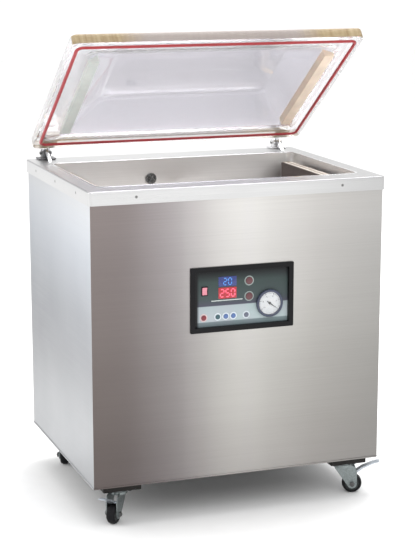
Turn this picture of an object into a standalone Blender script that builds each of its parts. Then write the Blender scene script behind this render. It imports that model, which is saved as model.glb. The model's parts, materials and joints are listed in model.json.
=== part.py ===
"""Floor-standing single-chamber vacuum packing machine, modelled with its lid open.

Metres, +Z up. The origin is on the floor under the middle of the cabinet, the controls face -Y.
Each object is one separate piece of the machine.
"""
import math

import bmesh
import bpy
from mathutils import Matrix, Vector

# Cabinet
WIDTH = 0.750
DEPTH = 0.595
DECK_TOP = 0.815
RIM_HEIGHT = 0.033
RIM_RADIUS = 0.010
SHEET = 0.002
PANEL_INSET = 0.005
CABINET_BOTTOM = 0.100
GAP = 0.0003
FRONT = -DEPTH / 2
REAR = DEPTH / 2
PANEL_FRONT = FRONT + PANEL_INSET
PANEL_SIDE = WIDTH / 2 - PANEL_INSET
PANEL_TOP = DECK_TOP - 0.012
LOUVRE_X = 0.17
LOUVRE_Z = 0.24
LOUVRE_PITCH = 0.022
LOUVRE_ROWS = 6
LOUVRE_LENGTH = 0.14
GLAND_X = 0.30
GLAND_Z = 0.165

# Chamber
CHAMBER_HALF = 0.335
CHAMBER_FRONT = FRONT + 0.067
CHAMBER_REAR = FRONT + 0.490
CHAMBER_DEPTH = 0.125
CHAMBER_WALL = 0.0025
CHAMBER_RADIUS = 0.022
CHAMBER_FLOOR = DECK_TOP - CHAMBER_DEPTH
GRILLE_X = -0.066
GRILLE_Z = DECK_TOP - 0.052
GRILLE_RADIUS = 0.0145
PORT_RADIUS = 0.010

# Seal bars, one along each side of the chamber
BAR_X = 0.3035
BAR_WIDTH = 0.031
BAR_FRONT = FRONT + 0.100
BAR_REAR = FRONT + 0.452
BAR_TOP = DECK_TOP - 0.0205
BAR_HEIGHT = 0.044
LIFT_TOP = DECK_TOP - 0.082
LIFT_LENGTH = 0.310
GUIDE_RADIUS = 0.005
GUIDE_Y = 0.120

# Lid, drawn closed and relative to its hinge axis, then turned open about it
HINGE_Y = FRONT + 0.580
HINGE_Z = DECK_TOP + 0.016
HINGE_X = 0.325
OPEN_ANGLE = math.radians(35.7)
LID_HALF = 0.3724
LID_FRONT = -0.5532
LID_REAR = LID_FRONT + 0.508
LID_BOTTOM = -0.011
LID_FLANGE = 0.025
LID_RADIUS = 0.018
DOME_HEIGHT = 0.047
DOME_WALL = 0.0165
SEAL_HALF = 0.3555
SEAL_INSET_FRONT = 0.0203
SEAL_INSET_REAR = 0.4849
SEAL_CORNER = 0.014
SEAL_RADIUS = 0.0022

# Gas springs that hold the lid open
LEVER_LENGTH = 0.075
LEVER_ANGLE = math.radians(63.7)
LEVER_THICKNESS = 0.008
EAR_THICKNESS = 0.006
SLOT_FRONT = 0.053
SLOT_REAR = 0.0075
STRUT_X = HINGE_X - 0.014
STRUT_FOOT_Y = FRONT + 0.545
STRUT_FOOT_Z = DECK_TOP - 0.400
STRUT_LENGTH = 0.3806
STRUT_TILT = math.radians(4.93)
TUBE_TOP = 0.215
TUBE_RADIUS = 0.009
TUBE_BORE = 0.0046

# Control panel
PANEL_X = 0.004
PANEL_Z = DECK_TOP - 0.2745
BEZEL_WIDTH = 0.264
BEZEL_HEIGHT = 0.159
BEZEL_BORDER = 0.012
BEZEL_FACE = PANEL_FRONT - 0.0037
FASCIA_FACE = PANEL_FRONT + 0.0055
FASCIA_THICKNESS = 0.0025
GAUGE_X = 0.0758
GAUGE_Z = DECK_TOP - 0.2945
GAUGE_RADIUS = 0.034
KEY_Z = DECK_TOP - 0.319
KEYS = (
    ("key_stop", -0.0920, KEY_Z, 0.0065),
    ("key_mode", -0.0563, KEY_Z, 0.0060),
    ("key_down", -0.0357, KEY_Z, 0.0060),
    ("key_up", -0.0165, KEY_Z, 0.0060),
    ("key_enter", 0.0168, KEY_Z, 0.0060),
    ("key_plus", 0.0240, DECK_TOP - 0.236, 0.0090),
    ("key_minus", 0.0240, DECK_TOP - 0.274, 0.0090),
)
SWITCH_X = -0.0896
SWITCH_Z = DECK_TOP - 0.254
SWITCH_WIDTH = 0.013
SWITCH_HEIGHT = 0.021

# Vacuum system inside the cabinet
TRAY_FLOOR = CABINET_BOTTOM + SHEET + GAP
PUMP_X = (-0.235, -0.015)
PUMP_Y = (-0.110, 0.090)
PUMP_TOP = 0.300
MOTOR_LENGTH = 0.240
MOTOR_RADIUS = 0.072
VALVE_X = -0.120
VALVE_Y = 0.020
VALVE_HALF = 0.028
VALVE_TOP = 0.350
AIR_VALVE_X = 0.080
AIR_VALVE_Z = 0.755

# Casters: name, swivel axis and the direction that the wheel trails in
CASTER_X = 0.297
CASTER_FRONT = FRONT + 0.056
CASTER_REAR = REAR - 0.056
CASTERS = (
    ("front_left", -CASTER_X, CASTER_FRONT, math.radians(230), True),
    ("front_right", CASTER_X, CASTER_FRONT, math.radians(-20), True),
    ("rear_left", -CASTER_X, CASTER_REAR, math.radians(250), False),
    ("rear_right", CASTER_X, CASTER_REAR, math.radians(205), False),
)
WHEEL_RADIUS = 0.025
WHEEL_WIDTH = 0.021
WHEEL_TRAIL = 0.026
AXLE_RADIUS = 0.0035
RAIL_BOTTOM = 0.085
RAIL_WIDTH = 0.095
PEDAL_PIVOT = (0.0345, 0.0, 0.0560)
PEDAL_WIDTH = 0.019

X_AXIS = (1, 0, 0)
Y_AXIS = (0, 1, 0)
Z_AXIS = (0, 0, 1)

for old in list(bpy.data.objects):
    bpy.data.objects.remove(old, do_unlink=True)

parts = bpy.data.collections.new("vacuum_packing_machine")
cutters = bpy.data.collections.new("cutters")
bpy.context.scene.collection.children.link(parts)
bpy.context.scene.collection.children.link(cutters)


def material(name, colour, roughness, metallic=0.0, alpha=1.0):
    made = bpy.data.materials.new(name)
    made.use_nodes = True
    shader = made.node_tree.nodes["Principled BSDF"]
    shader.inputs["Base Color"].default_value = (*colour, 1.0)
    shader.inputs["Roughness"].default_value = roughness
    shader.inputs["Metallic"].default_value = metallic
    shader.inputs["Alpha"].default_value = alpha
    return made


STEEL = material("stainless", (0.62, 0.61, 0.60), 0.35, 1.0)
ZINC = material("zinc", (0.55, 0.56, 0.55), 0.40, 1.0)
CHROME = material("chrome", (0.75, 0.75, 0.76), 0.12, 1.0)
DARK_STEEL = material("dark_steel", (0.05, 0.05, 0.055), 0.45, 0.8)
ALUMINIUM = material("aluminium", (0.60, 0.60, 0.61), 0.45, 1.0)
BROWN_BAR = material("bar_anodised", (0.16, 0.12, 0.10), 0.50, 0.4)
ACRYLIC = material("acrylic", (0.86, 0.85, 0.90), 0.08, 0.0, 0.35)
RED_RUBBER = material("red_silicone", (0.62, 0.05, 0.04), 0.55)
TAN_RUBBER = material("tan_silicone", (0.68, 0.52, 0.38), 0.60)
BLACK_PLASTIC = material("black_plastic", (0.02, 0.02, 0.022), 0.45)
FASCIA_FILM = material("fascia_film", (0.20, 0.22, 0.24), 0.40)
GAUGE_BLUE = material("gauge_rim", (0.05, 0.06, 0.11), 0.35)
BLUE_KEY = material("blue_key", (0.10, 0.20, 0.42), 0.40)
RED_KEY = material("red_key", (0.42, 0.03, 0.04), 0.35)
TYRE = material("tyre", (0.03, 0.03, 0.03), 0.75)
CAST_GREY = material("cast_grey", (0.28, 0.31, 0.33), 0.60, 0.3)
COPPER = material("winding", (0.45, 0.22, 0.10), 0.45, 0.6)
HOSE = material("hose", (0.75, 0.75, 0.73), 0.50)


def keep(obj, paint, parent=None):
    """Files a finished piece with the machine's parts and gives it its material."""
    for user in list(obj.users_collection):
        user.objects.unlink(obj)
    parts.objects.link(obj)
    obj.data.materials.clear()
    obj.data.materials.append(paint)
    obj.data.shade_smooth()
    obj.data.set_sharp_from_angle(angle=math.radians(35))
    if parent is not None:
        obj.parent = parent
    return obj


def tool(obj, parent=None):
    """Files a shape that only cuts or joins another, so it is not a piece itself."""
    for user in list(obj.users_collection):
        user.objects.unlink(obj)
    cutters.objects.link(obj)
    obj.display_type = "WIRE"
    obj.hide_render = True
    if parent is not None:
        obj.parent = parent
    return obj


def place(name, bm, origin=(0, 0, 0)):
    bmesh.ops.recalc_face_normals(bm, faces=bm.faces)
    mesh = bpy.data.meshes.new(name)
    bm.to_mesh(mesh)
    bm.free()
    obj = bpy.data.objects.new(name, mesh)
    obj.location = origin
    bpy.context.scene.collection.objects.link(obj)
    return obj


def box(name, low, high, radius=0.0, segments=2, axis=None, origin=None):
    """A box between two corners; its edges are rounded, or only those along one axis."""
    low, high = Vector(low), Vector(high)
    middle = (low + high) / 2
    origin = middle if origin is None else Vector(origin)
    bm = bmesh.new()
    bmesh.ops.create_cube(bm, size=1.0)
    bmesh.ops.scale(bm, vec=high - low, verts=bm.verts)
    bmesh.ops.translate(bm, vec=middle - origin, verts=bm.verts)
    if radius:
        edges = list(bm.edges)
        if axis is not None:
            along = Vector(axis)
            edges = [e for e in edges if abs((e.verts[1].co - e.verts[0].co).normalized().dot(along)) > 0.99]
        bmesh.ops.bevel(bm, geom=edges, offset=radius, segments=segments, profile=0.5, affect="EDGES")
    return place(name, bm, origin)


def turn_to(axis):
    """The rotation that takes +Z to this axis."""
    return Vector(Z_AXIS).rotation_difference(Vector(axis)).to_matrix().to_4x4()


def rod(name, radius, start, end, sides=24, chamfer=0.0, origin=None):
    start, end = Vector(start), Vector(end)
    middle = (start + end) / 2
    origin = middle if origin is None else Vector(origin)
    bm = bmesh.new()
    bmesh.ops.create_cone(
        bm, cap_ends=True, segments=sides, radius1=radius, radius2=radius, depth=(end - start).length
    )
    if chamfer:
        rims = [e for e in bm.edges if abs(e.verts[0].co.z - e.verts[1].co.z) < 1e-6]
        bmesh.ops.bevel(bm, geom=rims, offset=chamfer, segments=2, profile=0.5, affect="EDGES")
    bmesh.ops.transform(bm, matrix=turn_to(end - start), verts=bm.verts)
    bmesh.ops.translate(bm, vec=middle - origin, verts=bm.verts)
    return place(name, bm, origin)


def turned(name, profile, origin, axis=Z_AXIS, sides=32):
    """A profile of (radius, height) points, from the top down its outer side, turned about an axis."""
    bm = bmesh.new()
    made = [bm.verts.new((radius, 0, height)) for radius, height in profile]
    for one, other in zip(made, made[1:]):
        bm.edges.new((one, other))
    mesh = bpy.data.meshes.new(name)
    bm.to_mesh(mesh)
    bm.free()
    obj = bpy.data.objects.new(name, mesh)
    bpy.context.scene.collection.objects.link(obj)
    screw = obj.modifiers.new("turn", "SCREW")
    screw.steps = screw.render_steps = sides
    screw.use_merge_vertices = True
    screw.merge_threshold = 0.00001
    obj.matrix_world = Matrix.Translation(origin) @ turn_to(axis)
    return obj


def slab(name, outline, thickness, origin, across=X_AXIS, up=Z_AXIS):
    """A flat outline of (across, up) points, made as a filled curve and turned into a mesh."""
    curve = bpy.data.curves.new(name, "CURVE")
    curve.dimensions = "2D"
    curve.fill_mode = "BOTH"
    curve.extrude = thickness / 2
    spline = curve.splines.new("POLY")
    spline.points.add(len(outline) - 1)
    for point, (u, v) in zip(spline.points, outline):
        point.co = (u, v, 0, 1)
    spline.use_cyclic_u = True
    drawn = bpy.data.objects.new(name + "_outline", curve)
    bpy.context.scene.collection.objects.link(drawn)
    normal = Vector(across).cross(Vector(up))
    frame = Matrix((Vector(across), Vector(up), normal)).transposed().to_4x4()
    return solid_from(drawn, name, Matrix.Translation(origin) @ frame)


def solid_from(curve_object, name, matrix):
    """The evaluated curve as a welded mesh object."""
    view = bpy.context.evaluated_depsgraph_get()
    mesh = bpy.data.meshes.new_from_object(curve_object.evaluated_get(view))
    bm = bmesh.new()
    bm.from_mesh(mesh)
    bmesh.ops.remove_doubles(bm, verts=bm.verts, dist=0.00001)
    bmesh.ops.recalc_face_normals(bm, faces=bm.faces)
    bm.to_mesh(mesh)
    bm.free()
    mesh.name = name
    obj = bpy.data.objects.new(name, mesh)
    obj.matrix_world = matrix
    bpy.context.scene.collection.objects.link(obj)
    bpy.data.objects.remove(curve_object, do_unlink=True)
    return obj


def arc(centre, radius, start, end, steps):
    """Points on a circle from one angle to another, both ends included."""
    turns = [start + (end - start) * i / steps for i in range(steps + 1)]
    return [(centre[0] + radius * math.cos(a), centre[1] + radius * math.sin(a)) for a in turns]


def rounded_rectangle(left, right, bottom, top, radius, steps=4):
    quarter = math.pi / 2
    return (
        arc((right - radius, bottom + radius), radius, -quarter, 0, steps)
        + arc((right - radius, top - radius), radius, 0, quarter, steps)
        + arc((left + radius, top - radius), radius, quarter, 2 * quarter, steps)
        + arc((left + radius, bottom + radius), radius, 2 * quarter, 3 * quarter, steps)
    )


def combine(obj, other, operation):
    step = obj.modifiers.new(operation.lower(), "BOOLEAN")
    step.operation = operation
    step.object = tool(other, other.parent)
    return obj


def cut(obj, *others):
    for other in others:
        combine(obj, other, "DIFFERENCE")
    return obj


def join(obj, *others):
    for other in others:
        combine(obj, other, "UNION")
    return obj


# ---------------------------------------------------------------- cabinet


def base_frame():
    """The folded floor of the cabinet with the two rails that carry the casters."""
    half_x = PANEL_SIDE - SHEET - 0.0008
    half_y = -PANEL_FRONT - SHEET - 0.0008
    tray = box("base_frame", (-half_x, -half_y, CABINET_BOTTOM), (half_x, half_y, CABINET_BOTTOM + 0.020))
    hollow = box(
        "tray_hollow",
        (-half_x + SHEET, -half_y + SHEET, CABINET_BOTTOM + SHEET),
        (half_x - SHEET, half_y - SHEET, CABINET_BOTTOM + 0.030),
    )
    cut(tray, hollow)
    for side in (-1, 1):
        middle = side * CASTER_X
        rail = box(
            f"rail_{side}",
            (middle - RAIL_WIDTH / 2, -half_y + 0.008, RAIL_BOTTOM),
            (middle + RAIL_WIDTH / 2, half_y - 0.008, CABINET_BOTTOM + 0.001),
        )
        soften(rail, [e for e in rail.data.edges if is_low_lengthwise(rail, e)], 0.002)
        join(tray, rail)
    return keep(tray, DARK_STEEL)


def front_panel():
    panel = box(
        "front_panel",
        (-PANEL_SIDE, PANEL_FRONT, CABINET_BOTTOM),
        (PANEL_SIDE, PANEL_FRONT + SHEET, PANEL_TOP),
    )
    rim = BEZEL_BORDER - 0.005
    window = box(
        "panel_window",
        (PANEL_X - BEZEL_WIDTH / 2 + rim, PANEL_FRONT - 0.01, PANEL_Z - BEZEL_HEIGHT / 2 + rim),
        (PANEL_X + BEZEL_WIDTH / 2 - rim, PANEL_FRONT + 0.01, PANEL_Z + BEZEL_HEIGHT / 2 - rim),
    )
    edges = [e for e in panel.data.edges if is_front_upright(panel, e)]
    soften(panel, edges, 0.0015)
    cut(panel, window)
    return keep(panel, STEEL)


def is_front_upright(obj, edge):
    ends = [obj.data.vertices[i].co for i in edge.vertices]
    upright = abs(ends[0].x - ends[1].x) < 1e-6 and abs(ends[0].z - ends[1].z) > 0.1
    return upright and all(p.y < 0 for p in ends)


def is_low_lengthwise(obj, edge):
    ends = [obj.data.vertices[i].co for i in edge.vertices]
    return all(p.z < 0 for p in ends) and abs(ends[0].y - ends[1].y) > 0.1


def soften(obj, edges, width):
    """Rounds the given edges of a piece."""
    wanted = {edge.index for edge in edges}
    bm = bmesh.new()
    bm.from_mesh(obj.data)
    bm.edges.ensure_lookup_table()
    chosen = [e for e in bm.edges if e.index in wanted]
    bmesh.ops.bevel(bm, geom=chosen, offset=width, segments=3, profile=0.5, affect="EDGES")
    bm.to_mesh(obj.data)
    bm.free()


def side_panel(name, side):
    inner, outer = side * (PANEL_SIDE - SHEET), side * PANEL_SIDE
    panel = box(
        name,
        (min(inner, outer), PANEL_FRONT + SHEET + GAP, CABINET_BOTTOM),
        (max(inner, outer), -PANEL_FRONT - SHEET - GAP, PANEL_TOP),
    )
    return keep(panel, STEEL)


def rear_panel():
    """A flat service cover with two banks of pressed louvres and the hole for the cord gland."""
    back = -PANEL_FRONT
    panel = box("rear_panel", (-PANEL_SIDE, back - SHEET, CABINET_BOTTOM), (PANEL_SIDE, back, PANEL_TOP))
    for bank in (-1, 1):
        for row in range(LOUVRE_ROWS):
            middle = Vector((bank * LOUVRE_X, back - 0.0005, LOUVRE_Z + row * LOUVRE_PITCH))
            half = Vector((LOUVRE_LENGTH / 2, 0, 0))
            join(panel, rod(f"louvre_{bank}_{row}", 0.0035, middle - half, middle + half, 8))
    hole = rod("gland_hole", 0.0083, (GLAND_X, back - 0.02, GLAND_Z), (GLAND_X, back + 0.02, GLAND_Z), 16)
    cut(panel, hole)
    return keep(panel, STEEL)


def top_plate():
    """The deck with its folded rim, open over the chamber and slotted for the lid's levers."""
    low, high = (-WIDTH / 2, FRONT, DECK_TOP - RIM_HEIGHT), (WIDTH / 2, REAR, DECK_TOP)
    plate = box("top_plate", low, high, RIM_RADIUS, 4, Z_AXIS)
    rounding = [e for e in plate.data.edges if all(plate.data.vertices[i].co.z > 0 for i in e.vertices)]
    soften(plate, rounding, 0.004)
    inside = box(
        "plate_inside",
        (-WIDTH / 2 + SHEET, FRONT + SHEET, DECK_TOP - RIM_HEIGHT - 0.01),
        (WIDTH / 2 - SHEET, REAR - SHEET, DECK_TOP - SHEET),
        RIM_RADIUS - SHEET,
        4,
        Z_AXIS,
    )
    outer = CHAMBER_WALL + GAP
    opening = box(
        "plate_opening",
        (-CHAMBER_HALF - outer, CHAMBER_FRONT - outer, DECK_TOP - 0.02),
        (CHAMBER_HALF + outer, CHAMBER_REAR + outer, DECK_TOP + 0.02),
        CHAMBER_RADIUS + outer,
        4,
        Z_AXIS,
    )
    cut(plate, inside, opening)
    for side in (-1, 1):
        middle = side * HINGE_X
        half = LEVER_THICKNESS / 2 + 0.0015
        slot = box(
            f"lever_slot_{side}",
            (middle - half, HINGE_Y - SLOT_FRONT, DECK_TOP - 0.01),
            (middle + half, HINGE_Y + SLOT_REAR, DECK_TOP + 0.01),
        )
        cut(plate, slot)
    return keep(plate, STEEL)


def chamber_tub():
    """The chamber: a deep drawn tub, flush with the deck, its lip rounded on the inside."""
    wall, floor = CHAMBER_WALL, CHAMBER_FLOOR
    tub = box(
        "chamber_tub",
        (-CHAMBER_HALF - wall, CHAMBER_FRONT - wall, floor - wall),
        (CHAMBER_HALF + wall, CHAMBER_REAR + wall, DECK_TOP),
        CHAMBER_RADIUS + wall,
        4,
        Z_AXIS,
    )
    hollow = box(
        "tub_hollow",
        (-CHAMBER_HALF, CHAMBER_FRONT, floor),
        (CHAMBER_HALF, CHAMBER_REAR, DECK_TOP + 0.02),
        CHAMBER_RADIUS,
        4,
        Z_AXIS,
    )
    ahead, behind = CHAMBER_REAR - 0.01, CHAMBER_REAR + 0.01
    port = rod("suction_port", PORT_RADIUS, (GRILLE_X, ahead, GRILLE_Z), (GRILLE_X, behind, GRILLE_Z), 20)
    cut(tub, hollow, port)
    return keep(tub, STEEL)


def suction_grille():
    """A round black cap with petal-shaped openings over the suction port."""
    face = CHAMBER_REAR - 0.004
    grille = rod(
        "suction_grille",
        GRILLE_RADIUS,
        (GRILLE_X, face, GRILLE_Z),
        (GRILLE_X, CHAMBER_REAR - GAP, GRILLE_Z),
        24,
    )
    petals = 6
    for i in range(petals):
        turn = math.tau * i / petals
        x = GRILLE_X + 0.0082 * math.sin(turn)
        z = GRILLE_Z + 0.0082 * math.cos(turn)
        cut(grille, rod(f"petal_{i}", 0.0028, (x, face - 0.01, z), (x, CHAMBER_REAR + 0.01, z), 10))
    return keep(grille, BLACK_PLASTIC)


# ---------------------------------------------------------------- seal bars


def seal_bar(name, side):
    """An aluminium bar that carries the sealing wire, on two guide rods that run in its lift."""
    middle = side * BAR_X
    half = BAR_WIDTH / 2
    origin = (middle, (BAR_FRONT + BAR_REAR) / 2, BAR_TOP - BAR_HEIGHT)
    bar = box(
        name,
        (middle - half, BAR_FRONT, BAR_TOP - BAR_HEIGHT),
        (middle + half, BAR_REAR, BAR_TOP),
        0.0015,
        2,
        Y_AXIS,
        origin,
    )
    for y in (-GUIDE_Y, GUIDE_Y):
        centre = origin[1] + y
        guide = rod(
            f"{name}_guide_{y:.2f}",
            GUIDE_RADIUS,
            (middle, centre, LIFT_TOP - 0.030),
            (middle, centre, BAR_TOP - BAR_HEIGHT + 0.004),
            16,
        )
        join(bar, guide)
    return keep(bar, BROWN_BAR)


def bar_lift(name, side):
    """The pneumatic lift on the chamber floor that pushes a seal bar up against the lid."""
    middle = side * BAR_X
    half = BAR_WIDTH / 2 - 0.002
    centre = (BAR_FRONT + BAR_REAR) / 2
    low = (middle - half, centre - LIFT_LENGTH / 2, CHAMBER_FLOOR + GAP)
    high = (middle + half, centre + LIFT_LENGTH / 2, LIFT_TOP)
    lift = box(name, low, high, 0.003, 2, Y_AXIS)
    for y in (-GUIDE_Y, GUIDE_Y):
        bore = rod(
            f"{name}_bore_{y:.2f}",
            GUIDE_RADIUS + 0.0004,
            (middle, centre + y, LIFT_TOP - 0.034),
            (middle, centre + y, LIFT_TOP + 0.01),
            16,
        )
        cut(lift, bore)
    return keep(lift, ALUMINIUM)


# ---------------------------------------------------------------- lid


def lid_axis():
    """The empty on the hinge axis that every piece of the lid hangs from."""
    pivot = bpy.data.objects.new("lid_hinge_axis", None)
    pivot.location = (0, HINGE_Y, HINGE_Z)
    pivot.rotation_euler = (-OPEN_ANGLE, 0, 0)
    parts.objects.link(pivot)
    return pivot


def hipped(name, base, roof, low, high, radius, skirt=0.0):
    """A low hipped block: a base rectangle narrowing to a roof rectangle, its slanted edges rounded."""
    bm = bmesh.new()
    bmesh.ops.create_cube(bm, size=2.0)
    for vert in bm.verts:
        left, right, front, back = base if vert.co.z < 0 else roof
        vert.co = (
            left if vert.co.x < 0 else right,
            front if vert.co.y < 0 else back,
            low if vert.co.z < 0 else high,
        )
    slanted = [e for e in bm.edges if max(e.verts[0].co.z, e.verts[1].co.z) > high - 1e-6]
    bmesh.ops.bevel(bm, geom=slanted, offset=radius, segments=3, profile=0.5, affect="EDGES")
    if skirt:
        bm.faces.ensure_lookup_table()
        bottom = min(bm.faces, key=lambda f: f.calc_center_median().z)
        grown = bmesh.ops.extrude_face_region(bm, geom=[bottom])
        moved = [g for g in grown["geom"] if isinstance(g, bmesh.types.BMVert)]
        bmesh.ops.translate(bm, vec=(0, 0, -skirt), verts=moved)
        bmesh.ops.delete(bm, geom=[bottom], context="FACES_ONLY")
    return place(name, bm)


def lid_at(back):
    """The local y of a point this far behind the lid's front edge."""
    return LID_FRONT + back


def lid_shell(pivot):
    """A thick clear lid: a flat flange with a hipped dome, hollow underneath."""
    flange = box(
        "lid_shell",
        (-LID_HALF, LID_FRONT, LID_BOTTOM),
        (LID_HALF, LID_REAR, LID_BOTTOM + LID_FLANGE),
        LID_RADIUS,
        4,
        Z_AXIS,
        (0, 0, 0),
    )
    edges = [e for e in flange.data.edges if all(flange.data.vertices[i].co.z > 0 for i in e.vertices)]
    soften(flange, edges, 0.003)
    dome = hipped(
        "dome_outside",
        (-0.314, 0.314, lid_at(0.060), lid_at(0.461)),
        (-0.2295, 0.2295, lid_at(0.122), lid_at(0.351)),
        LID_BOTTOM + LID_FLANGE - 0.0005,
        LID_BOTTOM + DOME_HEIGHT + DOME_WALL,
        0.014,
        0.004,
    )
    hollow = hipped(
        "dome_inside",
        (-0.325, 0.325, lid_at(0.045), lid_at(0.478)),
        (-0.222, 0.222, lid_at(0.130), lid_at(0.345)),
        LID_BOTTOM,
        LID_BOTTOM + DOME_HEIGHT,
        0.012,
        0.010,
    )
    for piece in (flange, dome, hollow):
        piece.parent = pivot
    join(flange, dome)
    cut(flange, hollow)
    return keep(flange, ACRYLIC, pivot)


def lid_seal(pivot):
    """The silicone seal that runs right round the underside of the lid."""
    outline = rounded_rectangle(
        -SEAL_HALF, SEAL_HALF, lid_at(SEAL_INSET_FRONT), lid_at(SEAL_INSET_REAR), SEAL_CORNER, 5
    )
    curve = bpy.data.curves.new("lid_seal", "CURVE")
    curve.dimensions = "3D"
    curve.bevel_depth = SEAL_RADIUS
    curve.bevel_resolution = 2
    spline = curve.splines.new("POLY")
    spline.points.add(len(outline) - 1)
    for point, (x, y) in zip(spline.points, outline):
        point.co = (x, y, LID_BOTTOM - SEAL_RADIUS - GAP, 1)
    spline.use_cyclic_u = True
    drawn = bpy.data.objects.new("seal_line", curve)
    bpy.context.scene.collection.objects.link(drawn)
    seal = solid_from(drawn, "lid_seal", Matrix.Identity(4))
    return keep(seal, RED_RUBBER, pivot)


def counter_bar(name, side, pivot):
    """A silicone strip in a wedge-shaped holder on the dome's side wall, facing a seal bar."""
    inner, outer = BAR_X - 0.013, BAR_X + 0.013
    slope = DOME_HEIGHT / (0.325 - 0.222)
    foot = LID_BOTTOM - 0.007
    section = [
        (side * inner, foot),
        (side * outer, foot),
        (side * outer, LID_BOTTOM + (0.325 - outer) * slope - 0.0016),
        (side * inner, LID_BOTTOM + (0.325 - inner) * slope - 0.0016),
    ]
    bar = slab(name, section, 0.344, (0, lid_at(0.250), 0))
    return keep(bar, TAN_RUBBER, pivot)


def lever_pin_local():
    """Where the gas spring's pin sits on the hinge arm, in the closed lid's frame."""
    return Vector((0, -LEVER_LENGTH * math.cos(LEVER_ANGLE), -LEVER_LENGTH * math.sin(LEVER_ANGLE)))


def hinge_arm(name, side, pivot):
    """A bell crank: a leaf on the lid's rear flange, an eye on the hinge pin, a tail to the gas spring."""
    pin = lever_pin_local()
    along = pin.normalized()
    left = Vector((0, along.z, -along.y))
    eye, half = 0.0105, 0.008
    leaf_low = LID_BOTTOM + LID_FLANGE + GAP
    tail_turn = math.atan2(left.z, left.y)
    start = (left * 0.009).yz
    shoulder = start + along.yz * ((start.y + 0.006) / -along.z)
    outline = (
        [(-0.088, leaf_low), (LID_REAR + 0.0012, leaf_low), (LID_REAR + 0.0012, -0.004), tuple(shoulder)]
        + arc(pin.yz, half, tail_turn, tail_turn + math.pi, 6)
        + arc((0, 0), eye, tail_turn + math.pi, tail_turn + math.tau - math.radians(26), 8)
        + [(-0.030, leaf_low + 0.007), (-0.088, leaf_low + 0.004)]
    )
    arm = slab(name, outline, LEVER_THICKNESS, (side * HINGE_X, 0, 0), Y_AXIS, Z_AXIS)
    leaf = box(
        name + "_leaf",
        (side * HINGE_X - 0.020, -0.088, leaf_low),
        (side * HINGE_X + 0.020, LID_REAR - 0.001, leaf_low + 0.004),
    )
    bore = rod(name + "_bore", 0.0045, (side * HINGE_X - 0.02, 0, 0), (side * HINGE_X + 0.02, 0, 0), 20)
    inward = -side
    stud = rod(
        name + "_stud",
        0.004,
        (side * HINGE_X, pin.y, pin.z),
        (side * HINGE_X + inward * 0.022, pin.y, pin.z),
        16,
    )
    for piece in (arm, leaf, bore, stud):
        piece.parent = pivot
    join(arm, leaf, stud)
    cut(arm, bore)
    return keep(arm, CHROME, pivot)


def hinge_base(name, side):
    """The fixed half of a hinge: a foot on the deck, two ears and the pin through them."""
    middle = side * HINGE_X
    slot = LEVER_THICKNESS / 2 + 0.0012
    foot = box(
        name,
        (middle - 0.023, HINGE_Y - 0.020, DECK_TOP + GAP),
        (middle + 0.023, HINGE_Y + 0.0145, DECK_TOP + 0.0045),
        0.001,
        1,
    )
    ears = []
    for edge in (-1, 1):
        centre = (middle + edge * (slot + EAR_THICKNESS / 2), HINGE_Y, HINGE_Z)
        outline = [(-0.0105, -0.012)] + arc((0, 0), 0.0105, math.pi, 0, 8) + [(0.0105, -0.012)]
        ears.append(slab(f"{name}_ear_{edge}", outline, EAR_THICKNESS, centre, Y_AXIS, Z_AXIS))
    pin_ends = [(middle + edge * 0.0145, HINGE_Y, HINGE_Z) for edge in (-1, 1)]
    pin = rod(f"{name}_pin", 0.004, *pin_ends, 16)
    notch = box(
        f"{name}_notch",
        (middle - slot, HINGE_Y - 0.060, DECK_TOP - 0.01),
        (middle + slot, HINGE_Y + SLOT_REAR, HINGE_Z - 0.0105),
    )
    join(foot, *ears)
    cut(foot, notch)
    join(foot, pin)
    return keep(foot, DARK_STEEL)


# ---------------------------------------------------------------- gas springs


def strut_axis(side):
    """The empty on a gas spring's lower pivot, turned so that its Z runs up the spring."""
    pivot = bpy.data.objects.new(f"strut_axis_{side}", None)
    pivot.location = (side * STRUT_X, STRUT_FOOT_Y, STRUT_FOOT_Z)
    pivot.rotation_euler = (STRUT_TILT, 0, 0)
    parts.objects.link(pivot)
    return pivot


def strut_cylinder(name, pivot):
    """The pressure tube with its lower eye; the bore is open at the top for the rod."""
    profile = [(TUBE_BORE, TUBE_TOP), (TUBE_RADIUS - 0.0005, TUBE_TOP), (TUBE_RADIUS, TUBE_TOP - 0.002)]
    profile += [(TUBE_RADIUS, 0.014), (0.0, 0.014), (0.0, 0.020), (TUBE_BORE, 0.024), (TUBE_BORE, TUBE_TOP)]
    tube = turned(name, profile, (0, 0, 0), Z_AXIS, 18)
    eye = rod(name + "_eye", 0.0085, (-0.0042, 0, 0), (0.0042, 0, 0), 20)
    neck = box(name + "_neck", (-0.004, -0.005, 0.002), (0.004, 0.005, 0.018))
    bore = rod(name + "_bore", 0.0035, (-0.01, 0, 0), (0.01, 0, 0), 16)
    for piece in (tube, eye, neck, bore):
        piece.parent = pivot
    join(tube, neck, eye)
    cut(tube, bore)
    return keep(tube, BLACK_PLASTIC, pivot)


def strut_rod(name, pivot):
    """The piston rod; its upper eye is wide, because the spring's top pivot is left open."""
    shaft = rod(name, 0.004, (0, 0, 0.066), (0, 0, STRUT_LENGTH - 0.009), 12, origin=(0, 0, 0.066))
    eye = rod(name + "_eye", 0.0105, (-0.004, 0, STRUT_LENGTH), (0.004, 0, STRUT_LENGTH), 16)
    hole = rod(name + "_hole", 0.0075, (-0.01, 0, STRUT_LENGTH), (0.01, 0, STRUT_LENGTH), 16)
    for piece in (shaft, eye, hole):
        piece.parent = pivot
    join(shaft, eye)
    cut(shaft, hole)
    return keep(shaft, CHROME, pivot)


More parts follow.
